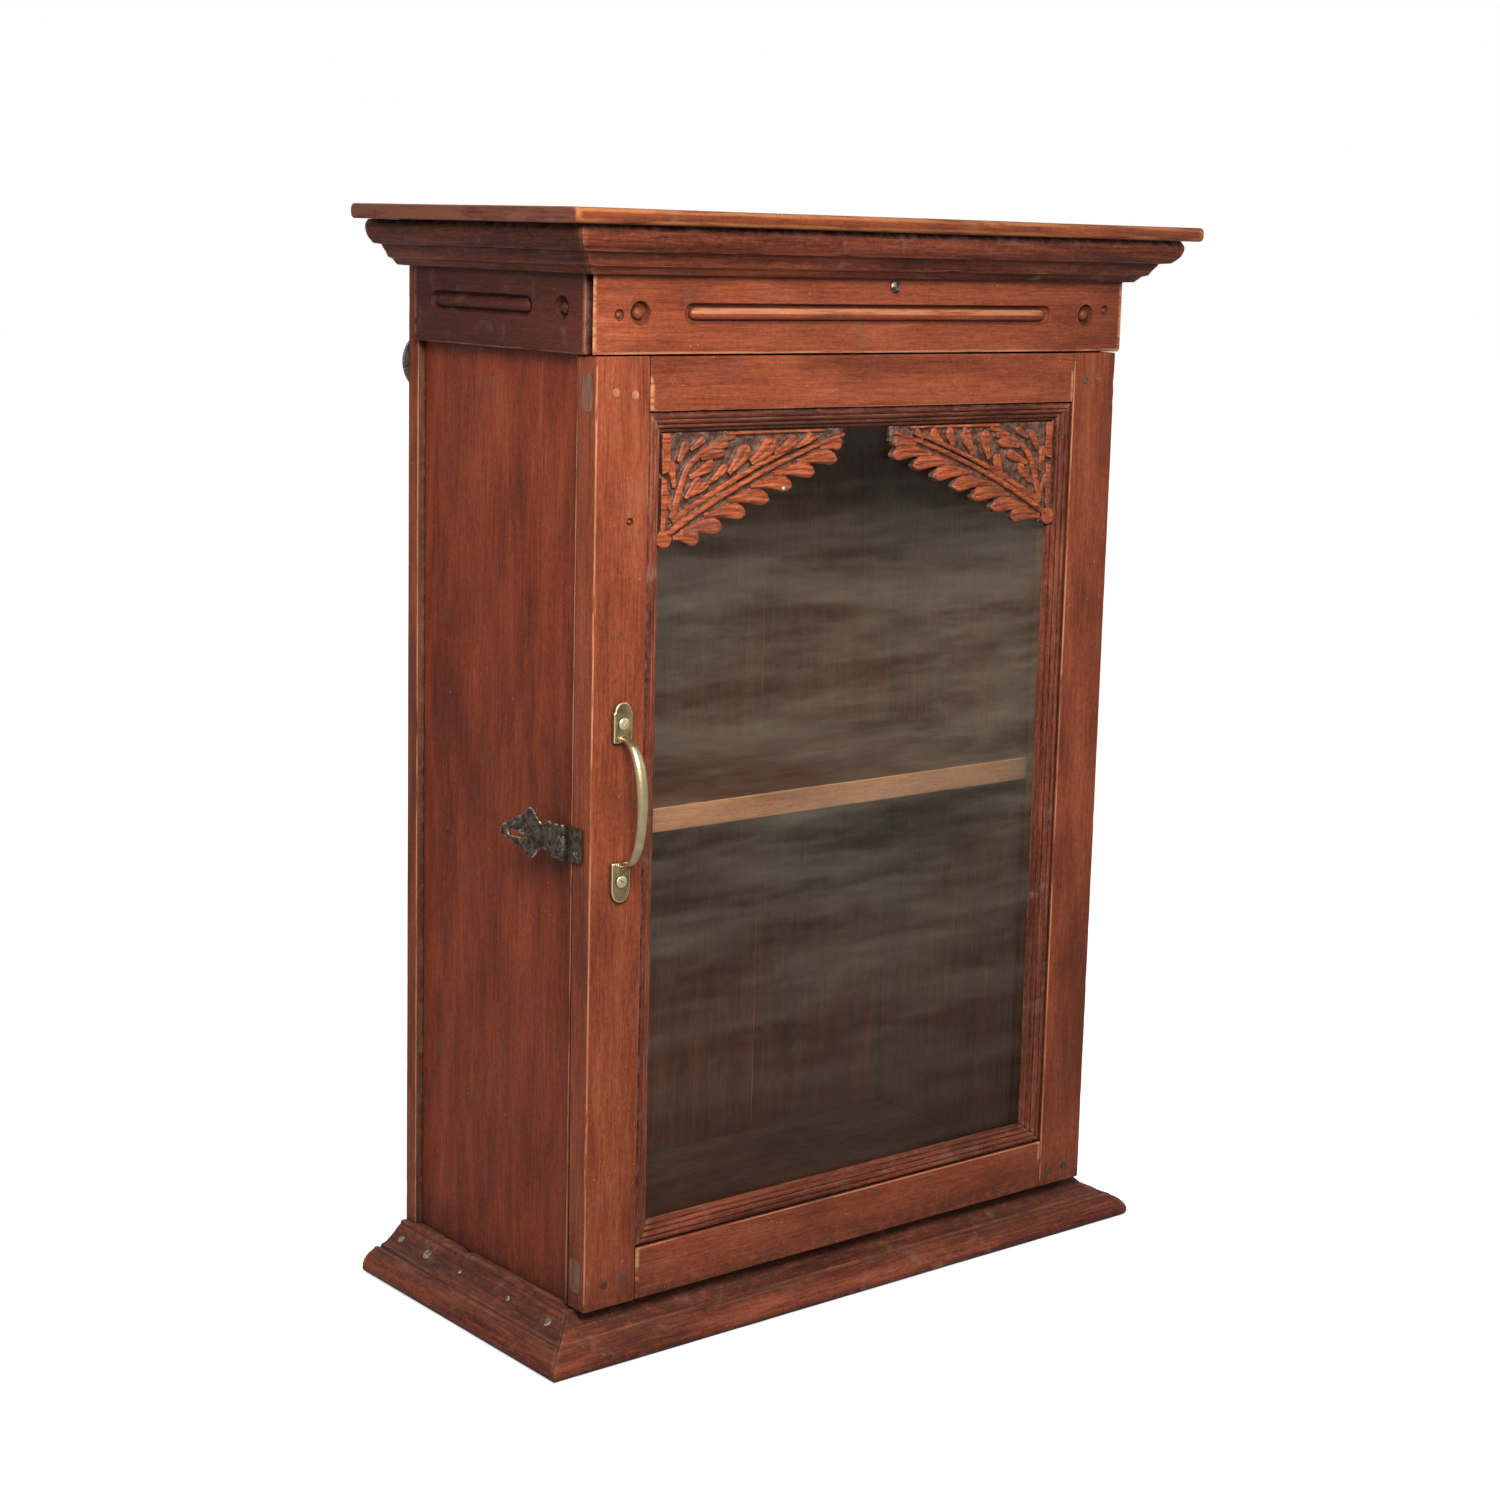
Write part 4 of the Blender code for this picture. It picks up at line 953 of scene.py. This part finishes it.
def sink_boss(piece, centre, outward, radius=BOSS_R, depth=BOSS_DEPTH):
    """Cut a round cup into a face and leave a dome standing in it."""
    cup = turned("cup", (
        (0, -depth), (0.90 * radius, -depth), (0.98 * radius, -0.6 * depth), (radius, 0),
        (1.06 * radius, 1.0), (0, 1.0),
    ), centre, outward)
    boolean(piece, cup)
    dome_r = 0.57 * radius
    crown = [
        (dome_r * math.cos(a), -depth - 0.5 + (depth + 0.3) * math.sin(a))
        for a in (math.pi / 2 * i / 6 for i in range(6))
    ]
    profile = [(0, -depth - 1.5), (dome_r, -depth - 1.5)] + crown + [(0, -0.2)]
    boolean(piece, turned("dome", profile, centre, outward), "UNION")


def build_frieze():
    """Front and side friezes with channels and bosses, and the nail under the cornice."""
    low, high = node_box("frieze_front")
    top = (high.z - low.z) / 2
    middle_z = (low.z + high.z) / 2
    thick = high.y - low.y
    foot = -top - FRIEZE_DROP
    front_profile = [Vector(p) for p in (
        (0.0, foot + 1), (thick * 0.5, foot), (thick - 2, foot), (thick - 0.6, foot + 0.6),
        (thick, foot + 2), (thick, foot + 4), (thick, 0), (thick, top - 3), (thick, top), (0, top),
    )]
    # the profile's u runs outward from the back face; the mitres follow it
    front = timber(
        "frieze_front_teak", front_profile, (0, high.y, middle_z), (0, -1, 0), UP,
        2 * (high.x - thick), (1, 1), 0.9, 41,
    )
    sink_channel(front, (0, low.y, CHANNEL_Z), (1, 0, 0), FRONT_CHANNEL_HALF)
    for x in (-FRONT_BOSS_X, FRONT_BOSS_X):
        sink_boss(front, (x, low.y, CHANNEL_Z), (0, -1, 0))
    for x, z in SMALL_BOSSES:
        sink_boss(front, (x, low.y, z), (0, -1, 0), SMALL_BOSS_R, SMALL_BOSS_DEPTH)
    finish(front, teak("front", "X", 1), "cabinet", "teak_front", "frieze_front")
    set_wear(front, (-225, low.y - 1, CHANNEL_Z - WEAR_BAND), (225, high.y, CHANNEL_Z + WEAR_BAND))
    # Painted highlight: a bright line along the front of the reed's crown
    set_wear(front, (-160, low.y - 1, CHANNEL_Z - 1), (160, low.y + 1.5, CHANNEL_Z + 4), 0.78)
    for label, sign in SIDES:
        node = "frieze_" + label
        low_s, high_s = node_box(node)
        side_thick = high_s.x - low_s.x
        inner = high_s.x if sign < 0 else low_s.x
        profile = [Vector((p.x * side_thick / thick, p.y)) for p in front_profile]
        start = low_s.y + side_thick
        piece = timber(
            node + "_teak", profile, (inner, (start + high_s.y) / 2, middle_z), (sign, 0, 0), UP,
            high_s.y - start, (None, 1), 0.9, 43 + sign,
        )
        face_x = sign * high.x
        sink_channel(piece, (face_x, SIDE_CHANNEL_Y, SIDE_CHANNEL_Z), (0, sign, 0), SIDE_CHANNEL_HALF)
        sink_boss(piece, (face_x, SIDE_BOSS_Y, SIDE_CHANNEL_Z), (sign, 0, 0))
        finish(piece, teak("frieze_side", "Y", 1), "cabinet", "teak_side", node)
        band = (SIDE_CHANNEL_Z - WEAR_BAND, SIDE_CHANNEL_Z + WEAR_BAND)
        set_wear(piece, (-FAR, -70, band[0]), (FAR, 100, band[1]))
    nail_low, nail_high = node_box("frieze_nail")
    centre = (nail_low + nail_high) / 2
    profile = ((0, -0.9), (3.8, -0.9), (4.0, -0.5), (3.6, 0.1), (2.6, 0.6), (1.2, 0.85), (0, 0.9))
    nail = turned("frieze_nail_head", profile, centre, (0, -1, 0))
    finish(nail, IRON, "cabinet", "iron", "frieze_nail")


# ---------------------------------------------------------------- mouldings


def build_edge_mouldings():
    """Mitred cornice and base moulding on the front and both sides."""
    for seed, (label, runs, wear) in enumerate((("cornice_", CORNICE, 1.2), ("base_", BASE, 1.9))):
        profile = outline(runs)
        reach = max(p.x for p in profile)
        if label == "cornice_":
            crest = max(p.y for p in profile) - 0.1
            profile = [Vector((p.x, p.y + CORNICE_FIT if p.y > crest else p.y)) for p in profile]
        low, high = node_box(label + "front_moulding")
        material = teak("moulding", "X", seed)
        front = timber(
            label + "front_moulding_teak", profile, (0, high.y, low.z), (0, -1, 0), UP,
            high.x - low.x - 2 * reach, (1, 1), wear, 51 + seed,
        )
        finish(front, material, "cabinet", "teak_moulding", label + "front_moulding")
        for side, sign in SIDES:
            node = label + side + "_moulding"
            low, high = node_box(node)
            inner = high.x if sign < 0 else low.x
            start = low.y + reach
            mitres = (None, 1) if sign > 0 else (1, None)
            piece = timber(
                node + "_teak", profile, (inner, (start + high.y) / 2, low.z), (sign, 0, 0), UP,
                high.y - start, mitres, wear, 55 + seed + sign,
            )
            if label == "base_":
                notch_for_plank(piece, sign)
            finish(piece, teak("moulding", "Y", seed), "cabinet", "teak_moulding", node)


def notch_for_plank(piece, sign):
    """Cut a base moulding's back end clear of the back plank's edge."""
    low, high = node_box("back_plank_left" if sign < 0 else "back_plank_right")
    edge_x = (low.x if sign < 0 else high.x) + sign * 0.3
    corners = ((0, low.y - 0.3), (edge_x, low.y - 0.3), (edge_x, high.y + 9), (0, high.y + 9))
    outline_points = [Vector(p) for p in (corners if sign > 0 else reversed(corners))]
    boolean(piece, slab("notch", outline_points, -9.0, 60.0, lambda p, h: Vector((p.x, p.y, h))))


def build_glass_mouldings():
    """Stepped mouldings with inside mitres round the glass."""
    profile = outline(STICKING)
    places = (
        ("left", (1, 0, 0), "x", -1), ("right", (-1, 0, 0), "x", 1),
        ("top", (0, 0, -1), "z", 1), ("bottom", (0, 0, 1), "z", -1),
    )
    for seed, (label, outward, axis, side) in enumerate(places):
        node = "glass_moulding_" + label
        low, high = node_box(node)
        middle = (low + high) / 2
        origin = Vector((middle.x, high.y, middle.z))
        setattr(origin, axis, getattr(high if side > 0 else low, axis))
        length = (high.z - low.z) if axis == "x" else (high.x - low.x)
        piece = timber(
            node + "_teak", profile, origin, outward, (0, -1, 0), length, (-1, -1), 0.5, 61 + seed,
        )
        grain = "Z" if axis == "x" else "X"
        finish(piece, teak("moulding", grain, 4 + seed), "door", "teak_moulding", node)


# ---------------------------------------------------------------- door


def cut_seam(stile, low, high):
    """Open a dark seam along the left stile's edge, wider towards its foot."""
    back = high.y - SEAM_Y
    points = [Vector((back, SEAM_WIDTHS[i][0])) for i in (0, -1)]
    points += [Vector((back - width, z)) for z, width in reversed(SEAM_WIDTHS)]
    boolean(stile, slab("seam", points, -4.0, SEAM_DEPTH, lambda p, h: Vector((low.x + h, p.x, p.y))))


def add_tenon_end(label, side, rail):
    """Show a through tenon's end grain in a stile's outer edge."""
    low, high = node_box("door_%s_stile" % label)
    face = low.x if side < 0 else high.x
    front, back = TENON_END_Y
    bottom, top = TENON_ENDS[rail]
    r = TENON_CORNER_R
    points = []
    for y, z, turn in (
        (back - r, bottom + r, -90), (back - r, top - r, 0),
        (front + r, top - r, 90), (front + r, bottom + r, 180),
    ):
        points += arc((y, z), r, turn, turn + 90, 4)
    if side < 0:
        points.reverse()
    end = slab(
        "%s_%s_tenon_end" % (rail, label), points, -1.5, 0.12,
        lambda p, h: Vector((face + side * h, p.x, p.y)), 0.3,
    )
    finish(end, teak("end_grain", "Z", 1), "door", "peg_wood")


def build_door_frame():
    """Stiles and rails, the tenons showing at the stiles' edges."""
    boards = {}
    for seed, label in enumerate(("left", "right")):
        boards[label] = board("door_%s_stile" % label, "Z", 1.3, 1.2, 71 + seed)
    low, high = node_box("door_left_stile")
    inner = high.x
    for seed, label in enumerate(("top", "bottom")):
        node = "door_%s_rail" % label
        boards[label] = board(
            node, "X", 1.0, 0.6, 75 + seed,
            trim=lambda a, b: (Vector((inner + 0.3, a.y, a.z)), Vector((-inner - 0.3, b.y, b.z))),
        )
    cut_seam(boards["left"], low, high)
    hole_x, hole_z = OLD_NAIL_HOLE
    sink_boss(boards["left"], (hole_x, low.y, hole_z), (0, -1, 0), OLD_NAIL_R, OLD_NAIL_DEPTH)
    for seed, (label, piece) in enumerate(boards.items()):
        is_stile = label in ("left", "right")
        node = "door_%s_%s" % (label, "stile" if is_stile else "rail")
        finish(piece, teak("front", "Z" if is_stile else "X", 2 + seed), "door", "teak_front", node)
        set_wear(piece, (-FAR, -FAR, DOOR_ENDS[1]), (FAR, FAR, FAR))
        set_wear(piece, (-FAR, -FAR, -FAR), (FAR, FAR, DOOR_ENDS[0]))
        if label == "left":
            seam_y = high.y - SEAM_Y - 0.1
            set_wear(piece, (-FAR, low.y + 1.6, -FAR), (low.x + SEAM_DEPTH, seam_y, FAR))
            # Painted highlight: a bright line along the stile's outer back arris, behind the seam
            set_wear(piece, (-FAR, seam_y, -FAR), (low.x + 0.8, FAR, FAR), 1.0)
            set_wear(piece, (hole_x - 5, -FAR, hole_z - 5), (hole_x + 5, low.y + 4, hole_z + 5))
    for label, side in SIDES:
        for rail in ("top", "bottom"):
            add_tenon_end(label, side, rail)
    for name in frame["record"]["behaviour"]["bodies"]["door"]:
        if name.startswith("peg_"):
            keep(name, teak("peg" if name in PALE_PEGS else "peg_dark", "Y", 1), 0.3)
        if name.startswith("glazing_bead_"):
            grain = "Z" if name.endswith(("left", "right")) else "X"
            keep(name, teak("inside", grain, 7), 0.5)
    keep("glass_pane", glass(), 0.0)


# ---------------------------------------------------------------- carving


def rib(share, offset=0.0):
    """A point along the main rib, moved sideways towards its upper side."""
    chord = RIB_TIP - RIB_FOOT
    side = Vector((-chord.y, chord.x)).normalized()
    return RIB_FOOT + chord * share + side * (RIB_BULGE * 4 * share * (1 - share) + offset)


def leaf(place, spine, half_width, height, start=0.35):
    """A rounded leaf along a spine, widest near its round end, with a shallow middle fold."""
    spine = smooth(spine, 5)
    count = len(spine) - 1
    rings = []
    for i, point in enumerate(spine):
        share = i / count
        along = (spine[min(i + 1, count)] - spine[max(i - 1, 0)]).normalized()
        side = Vector((-along.y, along.x))
        swell = start + (1 - start) * math.sin(math.pi / 2 * min(1.0, share / 0.72)) ** 1.5
        close = math.sqrt(max(0.02, 1 - max(0.0, (share - 0.72) / 0.28) ** 2))
        width = half_width * swell * close
        top = height * (0.90 + 0.10 * swell) * (0.72 + 0.28 * close)
        rings.append([place(point + side * width * a, top * b) for a, b in LEAF_SECTION])
    return loft("leaf", rings)


def ridge(place, points, width, height):
    """A raised rounded band along points, its half width and height given at both ends."""
    count = len(points) - 1
    rings = []
    for i, point in enumerate(points):
        share = i / count
        along = (points[min(i + 1, count)] - points[max(i - 1, 0)]).normalized()
        side = Vector((-along.y, along.x))
        half = width[0] + (width[1] - width[0]) * share
        top = height[0] + (height[1] - height[0]) * share
        section = ((-1, 0), (-1, 0.80), (-0.6, 0.95), (0, 1.0), (0.6, 0.95), (1, 0.80), (1, 0))
        rings.append([place(point + side * half * a, top * b) for a, b in section])
    return loft("ridge", rings)


def spray(place, rows, reach_back, bow, top_v, height, start):
    """Leaves from rows of (u, v, direction in degrees, length, half width)."""
    found = []
    for u, v, degrees, length, half in rows:
        way = Vector((math.cos(math.radians(degrees)), math.sin(math.radians(degrees))))
        base = Vector((u, v))
        end = base + way * length
        end.y = min(end.y, top_v)
        middle = base.lerp(end, 0.5) + Vector((way.y, -way.x)) * bow * length
        found.append(leaf(place, (base - way * reach_back, middle, end), half, height, start))
    return found


def plain(place, points, height):
    """A flat low solid under the carving."""
    return slab("ground", [Vector(p) for p in points], 0.0, height, place)


def carve_spandrel(label, sign):
    """Fuse one corner: ground, main spray with lobes and leaves, stem, border and strip."""
    low, high = node_box("spandrel_" + label)
    outer = high.x if sign > 0 else -low.x
    full = high.y - low.y
    top_v = high.z - low.z

    def place(point, height):
        return Vector((sign * (outer - point.x), high.y - min(height, full), low.z + point.y))

    shares = [i / 24 for i in range(25)]
    free = [rib(s, -3.4) for s in shares[1:]]
    ground = [Vector((0, 2)), Vector((8, 2))] + free + [Vector((154, top_v)), Vector((0, top_v))]
    parts = [plain(place, ground, GROUND_H)]
    lower_body = [rib(s, -2.0) for s in shares] + [rib(s, -6.4) for s in reversed(shares)]
    parts.append(plain(place, lower_body, 4.4))
    parts.append(ridge(place, [rib(s) for s in shares], (2.3, 1.4), (full, full - 0.5)))
    parts.append(ridge(place, [rib(s, 4.8) for s in shares[1:22]], (2.5, 1.3), (6.4, 6.0)))
    first, step = LOBE_ENDS[label]
    for i in range(LOBES):
        end = first + step * i
        root = rib(max(0.02, (end.x - 36 - RIB_FOOT.x) / (RIB_TIP.x - RIB_FOOT.x)), -4.6)
        bend = root.lerp(end, 0.55) + Vector((0.5, 2.2))
        parts.append(leaf(place, (root, bend, end), 5.7 - 0.10 * i, LOBE_H, 0.34))
    parts.append(leaf(place, (rib(0.86, -2), rib(0.94, -3.5), Vector((151, 62))), 4.6, 6.8, 0.6))
    parts += spray(place, UPPER_LEAVES[label], 3, 0.06, top_v - 0.6, LEAF_H, 0.40)
    parts.append(ridge(place, smooth(STEM, 4), (2.9, 1.7), (STEM_H, 5.4)))
    parts += spray(place, STEM_LEAVES, 2, 0.0, top_v - 0.8, STEM_H, 0.45)
    border = [Vector((u, top_v - 1.2)) for u in range(52, 142, 6)]
    parts.append(ridge(place, border, (1.3, 1.0), (5.8, 5.4)))
    parts.append(plain(place, UPPER_BLOCK + ((6.2, top_v), (0, top_v)), 6.6))
    parts.append(plain(place, LOWER_BLOCK, 6.2))
    parts.append(plain(place, [Vector((1.8, 6.4)) + p for p in arc((0, 0), 6.0, 0, 342, 19)], 6.9))
    carved = fused("spandrel_%s_carving" % label, parts, 0.45, 1)
    roughen(carved, high, full)
    mark(carved)
    depth = carved.data.attributes["cavity"]
    for vertex, value in zip(carved.data.vertices, depth.data):
        height = high.y - vertex.co.y / MM
        low_lying = (5.6 - height) / 1.8
        steep = (0.62 + vertex.normal.y) / 0.5
        value.value = min(1.0, max(0.0, value.value, low_lying, steep))
    return carved


def roughen(obj, high, full):
    """Give the front of a carving the slight waves of a hand gouge."""
    for vertex in obj.data.vertices:
        spot = vertex.co / MM
        wave = 0.30 * noise.noise(spot * 0.16) + 0.16 * noise.noise(spot * 0.5)
        height = high.y - spot.y
        spot.y = high.y - min(full, max(0.0, height + wave * min(1.0, height / 3)))
        vertex.co = spot * MM
    obj.data.update()


def build_spandrels():
    """The pair of carved corners and the pale nail in each."""
    material = carved_teak()
    pale_nail = iron("pale_nail", srgb(226, 220, 208), srgb(168, 158, 146))
    for label, sign in SIDES:
        node = "spandrel_" + label
        carved = carve_spandrel(label, sign)
        low, high = node_box(node)
        carved.data.materials.clear()
        carved.data.materials.append(material)
        face_towards(carved, ((0, 1, 0),), teak("front", "X", 8), 0.9)
        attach(carved, "door")
        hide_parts(node)
        u, v, h = CARVING_NAILS[label]
        outer = high.x if sign > 0 else -low.x
        spot = (sign * (outer - u), high.y - h, low.z + v)
        profile = ((0, -1.4), (1.1, -1.4), (1.5, -0.1), (1.1, 0.35), (0.5, 0.55), (0, 0.6))
        nail = turned("spandrel_%s_nail" % label, profile, spot, (0, -1, 0), 16)
        finish(nail, pale_nail, "door", "iron")


# ---------------------------------------------------------------- metalwork


def screw_head(name, centre, outward, radius, rise, tilt_deg):
    """A domed slotted screw head whose underside is at the centre point."""
    dome = [
        (radius * math.cos(a), rise * (0.25 + 0.75 * math.sin(a)))
        for a in (math.pi / 2 * i / 5 for i in range(5))
    ]
    head = turned(name, [(0, 0), (radius * 0.96, 0)] + dome + [(0, rise)], centre, outward, 28)
    outward = Vector(outward)
    tilt = math.radians(tilt_deg)
    across = outward.cross(UP) * math.cos(tilt) + UP * math.sin(tilt)
    other = outward.cross(across)
    top = Vector(centre) + outward * rise
    half = radius * 0.12
    cutter = slab(
        "slot", [Vector(p) for p in ((-9, -half), (9, -half), (9, half), (-9, half))], -rise * 0.5, 3.0,
        lambda p, h: top + across * p.x + other * p.y + outward * h,
    )
    return boolean(head, cutter)


def build_handle():
    """Cast brass handle: two shouldered feet and a bowed D-section grip, with two screws."""
    material = brass("aged_brass", 0.0)
    low, high = node_box("pull_handle")
    x = (low.x + high.x) / 2
    back_y = high.y
    parts = []
    for end_z, sign in ((high.z, -1), (low.z, 1)):
        cap = 6.4 if sign < 0 else 6.8

        def place(point, height, end_z=end_z, sign=sign):
            return Vector((x + point.x, back_y - height, end_z + sign * point.y))

        top = arc((0, cap), cap, 180, 360, 12)
        wide = FOOT_HALF_W
        shoulder = [Vector((wide, cap + 0.6)), Vector((wide, FOOT_H - 0.6)), Vector((wide - 0.5, FOOT_H))]
        sides = top + shoulder + [Vector((-p.x, p.y)) for p in reversed(shoulder)]
        if sign > 0:
            sides = [Vector((p.x, max(p.y, abs(p.x) * 0.8 - 3.2))) for p in sides]
        parts.append(slab("foot", sides, 0.0, FOOT_T, place, 0.7))
    start, stop = low.z + FOOT_H - 2.5, high.z - FOOT_H + 2.5
    middle, half = (start + stop) / 2, (stop - start) / 2
    reach = (back_y - low.y) - GRIP_INSET
    points = []
    radii = []
    for i in range(GRIP_STEPS + 1):
        angle = math.pi * i / GRIP_STEPS
        swell = math.sin(angle)
        out = 1.6 + (reach - 1.6) * swell ** 0.74
        points.append((x, back_y - out, middle - half * math.cos(angle)))
        upper = max(0.0, 1 - abs(i / GRIP_STEPS - 0.72) / 0.25)
        radii.append(GRIP_R + 0.9 * swell ** 1.2 + 0.7 * upper)
    parts.append(tube("grip", points, radii, 16, 0.74))
    handle = fused("pull_handle_cast", parts, 0.42, 6)
    finish(handle, material, "door", "brass", "pull_handle")
    set_wear(handle, (low.x, low.y - 1, start + 3), (high.x, back_y - FOOT_T - 1, stop - 3), 0.36)
    for label, tilt in (("lower", 35), ("upper", -50)):
        node = "handle_screw_" + label
        low_s, high_s = node_box(node)
        centre = (low_s + high_s) / 2
        head = screw_head(node + "_head", (centre.x, high_s.y, centre.z), (0, -1, 0), 4.1, 1.6, tilt)
        finish(head, BRASS_BRIGHT, "door", "brass", node)


def build_hasp():
    """Forged butterfly strap with a slot, laid flat and then lifted about its pin."""
    joint = next(j for j in frame["joints"] if j["name"] == "hasp_hinge")
    pin = Vector(joint["pos_m"]) / MM
    back_x = node_box("hasp_door_leaf")[1].x
    edge = outline(HASP_LEAF)
    upper = [Vector((p.x, p.y * UPPER_WING if p.x > 12 else p.y)) for p in edge]
    lower = [Vector((p.x, -p.y * LOWER_WING if p.x > 12 else -p.y)) for p in reversed(edge[:-1])]
    points = list(reversed(upper + lower))

    def place(point, height):
        curl = HASP_WING_CURL * max(0.0, abs(point.y) - 8) / 9
        return Vector((back_x - height - curl, pin.y + point.x, pin.z + point.y))

    strap = slab("strap", points, 0.0, STRAP_T, place, 0.4)
    middle, half, radius = HASP_SLOT
    slot = arc((middle + half, 0), radius, -90, 90, 8) + arc((middle - half, 0), radius, 90, 270, 8)
    boolean(strap, slab("slot", slot, -4.0, 6.0, place))
    knuckle = turned("knuckle", HASP_KNUCKLE, pin, UP)
    hasp = fused("hasp_strap_forged", [strap, knuckle], 0.38, 1)
    lift = Matrix.Rotation(-math.radians(joint["range_deg"][0]), 4, "Z")
    pivot = Matrix.Translation(pin * MM)
    hasp.data.transform(pivot @ lift @ pivot.inverted())
    finish(hasp, IRON, "hasp", "iron", "hasp_strap")


def build_staple():
    """A hand-bent wire staple whose eye stands out of the left side."""
    low, high = node_box("hasp_staple")
    radius = (high.z - low.z) / 2
    middle = (low.z + high.z) / 2
    centre_y = (low.y + high.y) / 2
    half = (high.y - low.y) / 2 - radius
    bend_x = low.x + radius + half
    route = [(high.x, centre_y - half, middle)]
    for i in range(13):
        a = math.pi * i / 12
        route.append((bend_x - half * math.sin(a), centre_y - half * math.cos(a), middle))
    route.append((high.x, centre_y + half, middle))
    wire = tube("hasp_staple_wire", route, [radius] * len(route), 14, across=UP)
    finish(wire, HIGHLIT_IRON, "cabinet", "iron", "hasp_staple")


def build_ironwork():
    """Hinges, the hasp's leaf and pin as they are, with forged strap, staple and nails."""
    keep("hasp_door_leaf", IRON, 0.2)
    for end in ("lower", "upper"):
        for node in ("cabinet_leaf", "pin", "door_leaf"):
            keep("%s_hinge_%s" % (end, node), IRON, 0.2)
    keep("hasp_pin", HIGHLIT_IRON, 0.2)
    build_hasp()
    build_staple()
    low, high = node_box("hasp_door_leaf")
    for label, up in (("lower", -HASP_SCREW_UP), ("upper", HASP_SCREW_UP)):
        spot = (high.x - 1.6, low.y + 5.5, (low.z + high.z) / 2 + up)
        nail = screw_head("hasp_screw_" + label, spot, (-1, 0, 0), 2.6, 0.9, 20 * up)
        finish(nail, IRON, "door", "iron")


def build_base_nails():
    """Nail heads in the left base moulding."""
    for i, (y, radius) in enumerate(BASE_NAILS):
        profile = ((0, -1.5), (radius * 0.8, -1.5), (radius, -0.4), (radius * 0.8, 0.1), (0, 0.3))
        spot = (BASE_NAIL_X, y, BASE_NAIL_Z)
        nail = turned("base_nail_%d" % (i + 1), profile, spot, BASE_NAIL_WAY, 18)
        finish(nail, OLD_NAIL, "cabinet", "iron")


# ---------------------------------------------------------------- stage

def build_stage():
    """Floor, soft lights and sky."""
    bpy.ops.mesh.primitive_plane_add(size=30)
    floor = bpy.context.object
    floor.name = "floor"
    floor.data.materials.append(pale("pale_floor", (0.90, 0.90, 0.90, 1)))
    floor.visible_diffuse = False
    floor.visible_glossy = False
    for name, place, size, power, colour in LIGHTS:
        data = bpy.data.lights.new(name, "AREA")
        data.size = size
        data.energy = power
        data.color = colour
        lamp = linked(name, data)
        lamp.location = place
        lamp.rotation_euler = (LIGHT_AIM - Vector(place)).to_track_quat("-Z", "Y").to_euler()
    world = bpy.data.worlds.new("studio")
    world.use_nodes = True
    tree = world.node_tree
    sky = tree.nodes["Background"]
    sky.inputs["Color"].default_value = (1, 1, 1, 1)
    paths = tree.nodes.new("ShaderNodeLightPath")
    level = tree.nodes.new("ShaderNodeMapRange")
    tree.links.new(paths.outputs["Is Camera Ray"], level.inputs["Value"])
    level.inputs["To Min"].default_value = SKY_LIGHT
    level.inputs["To Max"].default_value = 1.0
    tree.links.new(level.outputs[0], sky.inputs["Strength"])
    bpy.context.scene.world = world
    bpy.context.scene.view_settings.view_transform = "Standard"


def build_camera():
    """Camera at the photograph's viewing angle."""
    azimuth, elevation, roll = (math.radians(angle) for angle in CAMERA_ANGLES)
    flat = math.cos(elevation)
    back = Vector((math.sin(azimuth) * flat, -math.cos(azimuth) * flat, math.sin(elevation)))
    level = (-back).cross(UP).normalized()
    up = level.cross(-back)
    right = math.cos(roll) * level + math.sin(roll) * up
    top = -math.sin(roll) * level + math.cos(roll) * up
    data = bpy.data.cameras.new("camera")
    data.sensor_width = 36.0
    data.lens = CAMERA_LENS
    data.shift_x, data.shift_y = CAMERA_SHIFT
    camera = linked("camera", data)
    turn = Matrix((right, top, back)).transposed().to_4x4()
    camera.matrix_world = Matrix.Translation(Vector(CAMERA_PLACE)) @ turn
    bpy.context.scene.camera = camera


IRON = iron("black_iron", srgb(104, 92, 80), srgb(46, 40, 36))
# Painted highlight: a pale, partly rubbed iron for the staple and the hasp's pin, standing for the light on them
HIGHLIT_IRON = iron("pale_highlit_iron", srgb(198, 190, 170), srgb(104, 96, 84))
OLD_NAIL = iron("old_nail", srgb(140, 132, 120), srgb(84, 78, 72))
# Polish and painted highlight: brass with strongly lightened edges for the screw heads
BRASS_BRIGHT = brass("pale_highlit_brass", 0.75)
build_stage()
build_camera()
build_carcass()
build_hangers()
build_frieze()
build_edge_mouldings()
build_door_frame()
build_glass_mouldings()
build_spandrels()
build_handle()
build_ironwork()
build_base_nails()
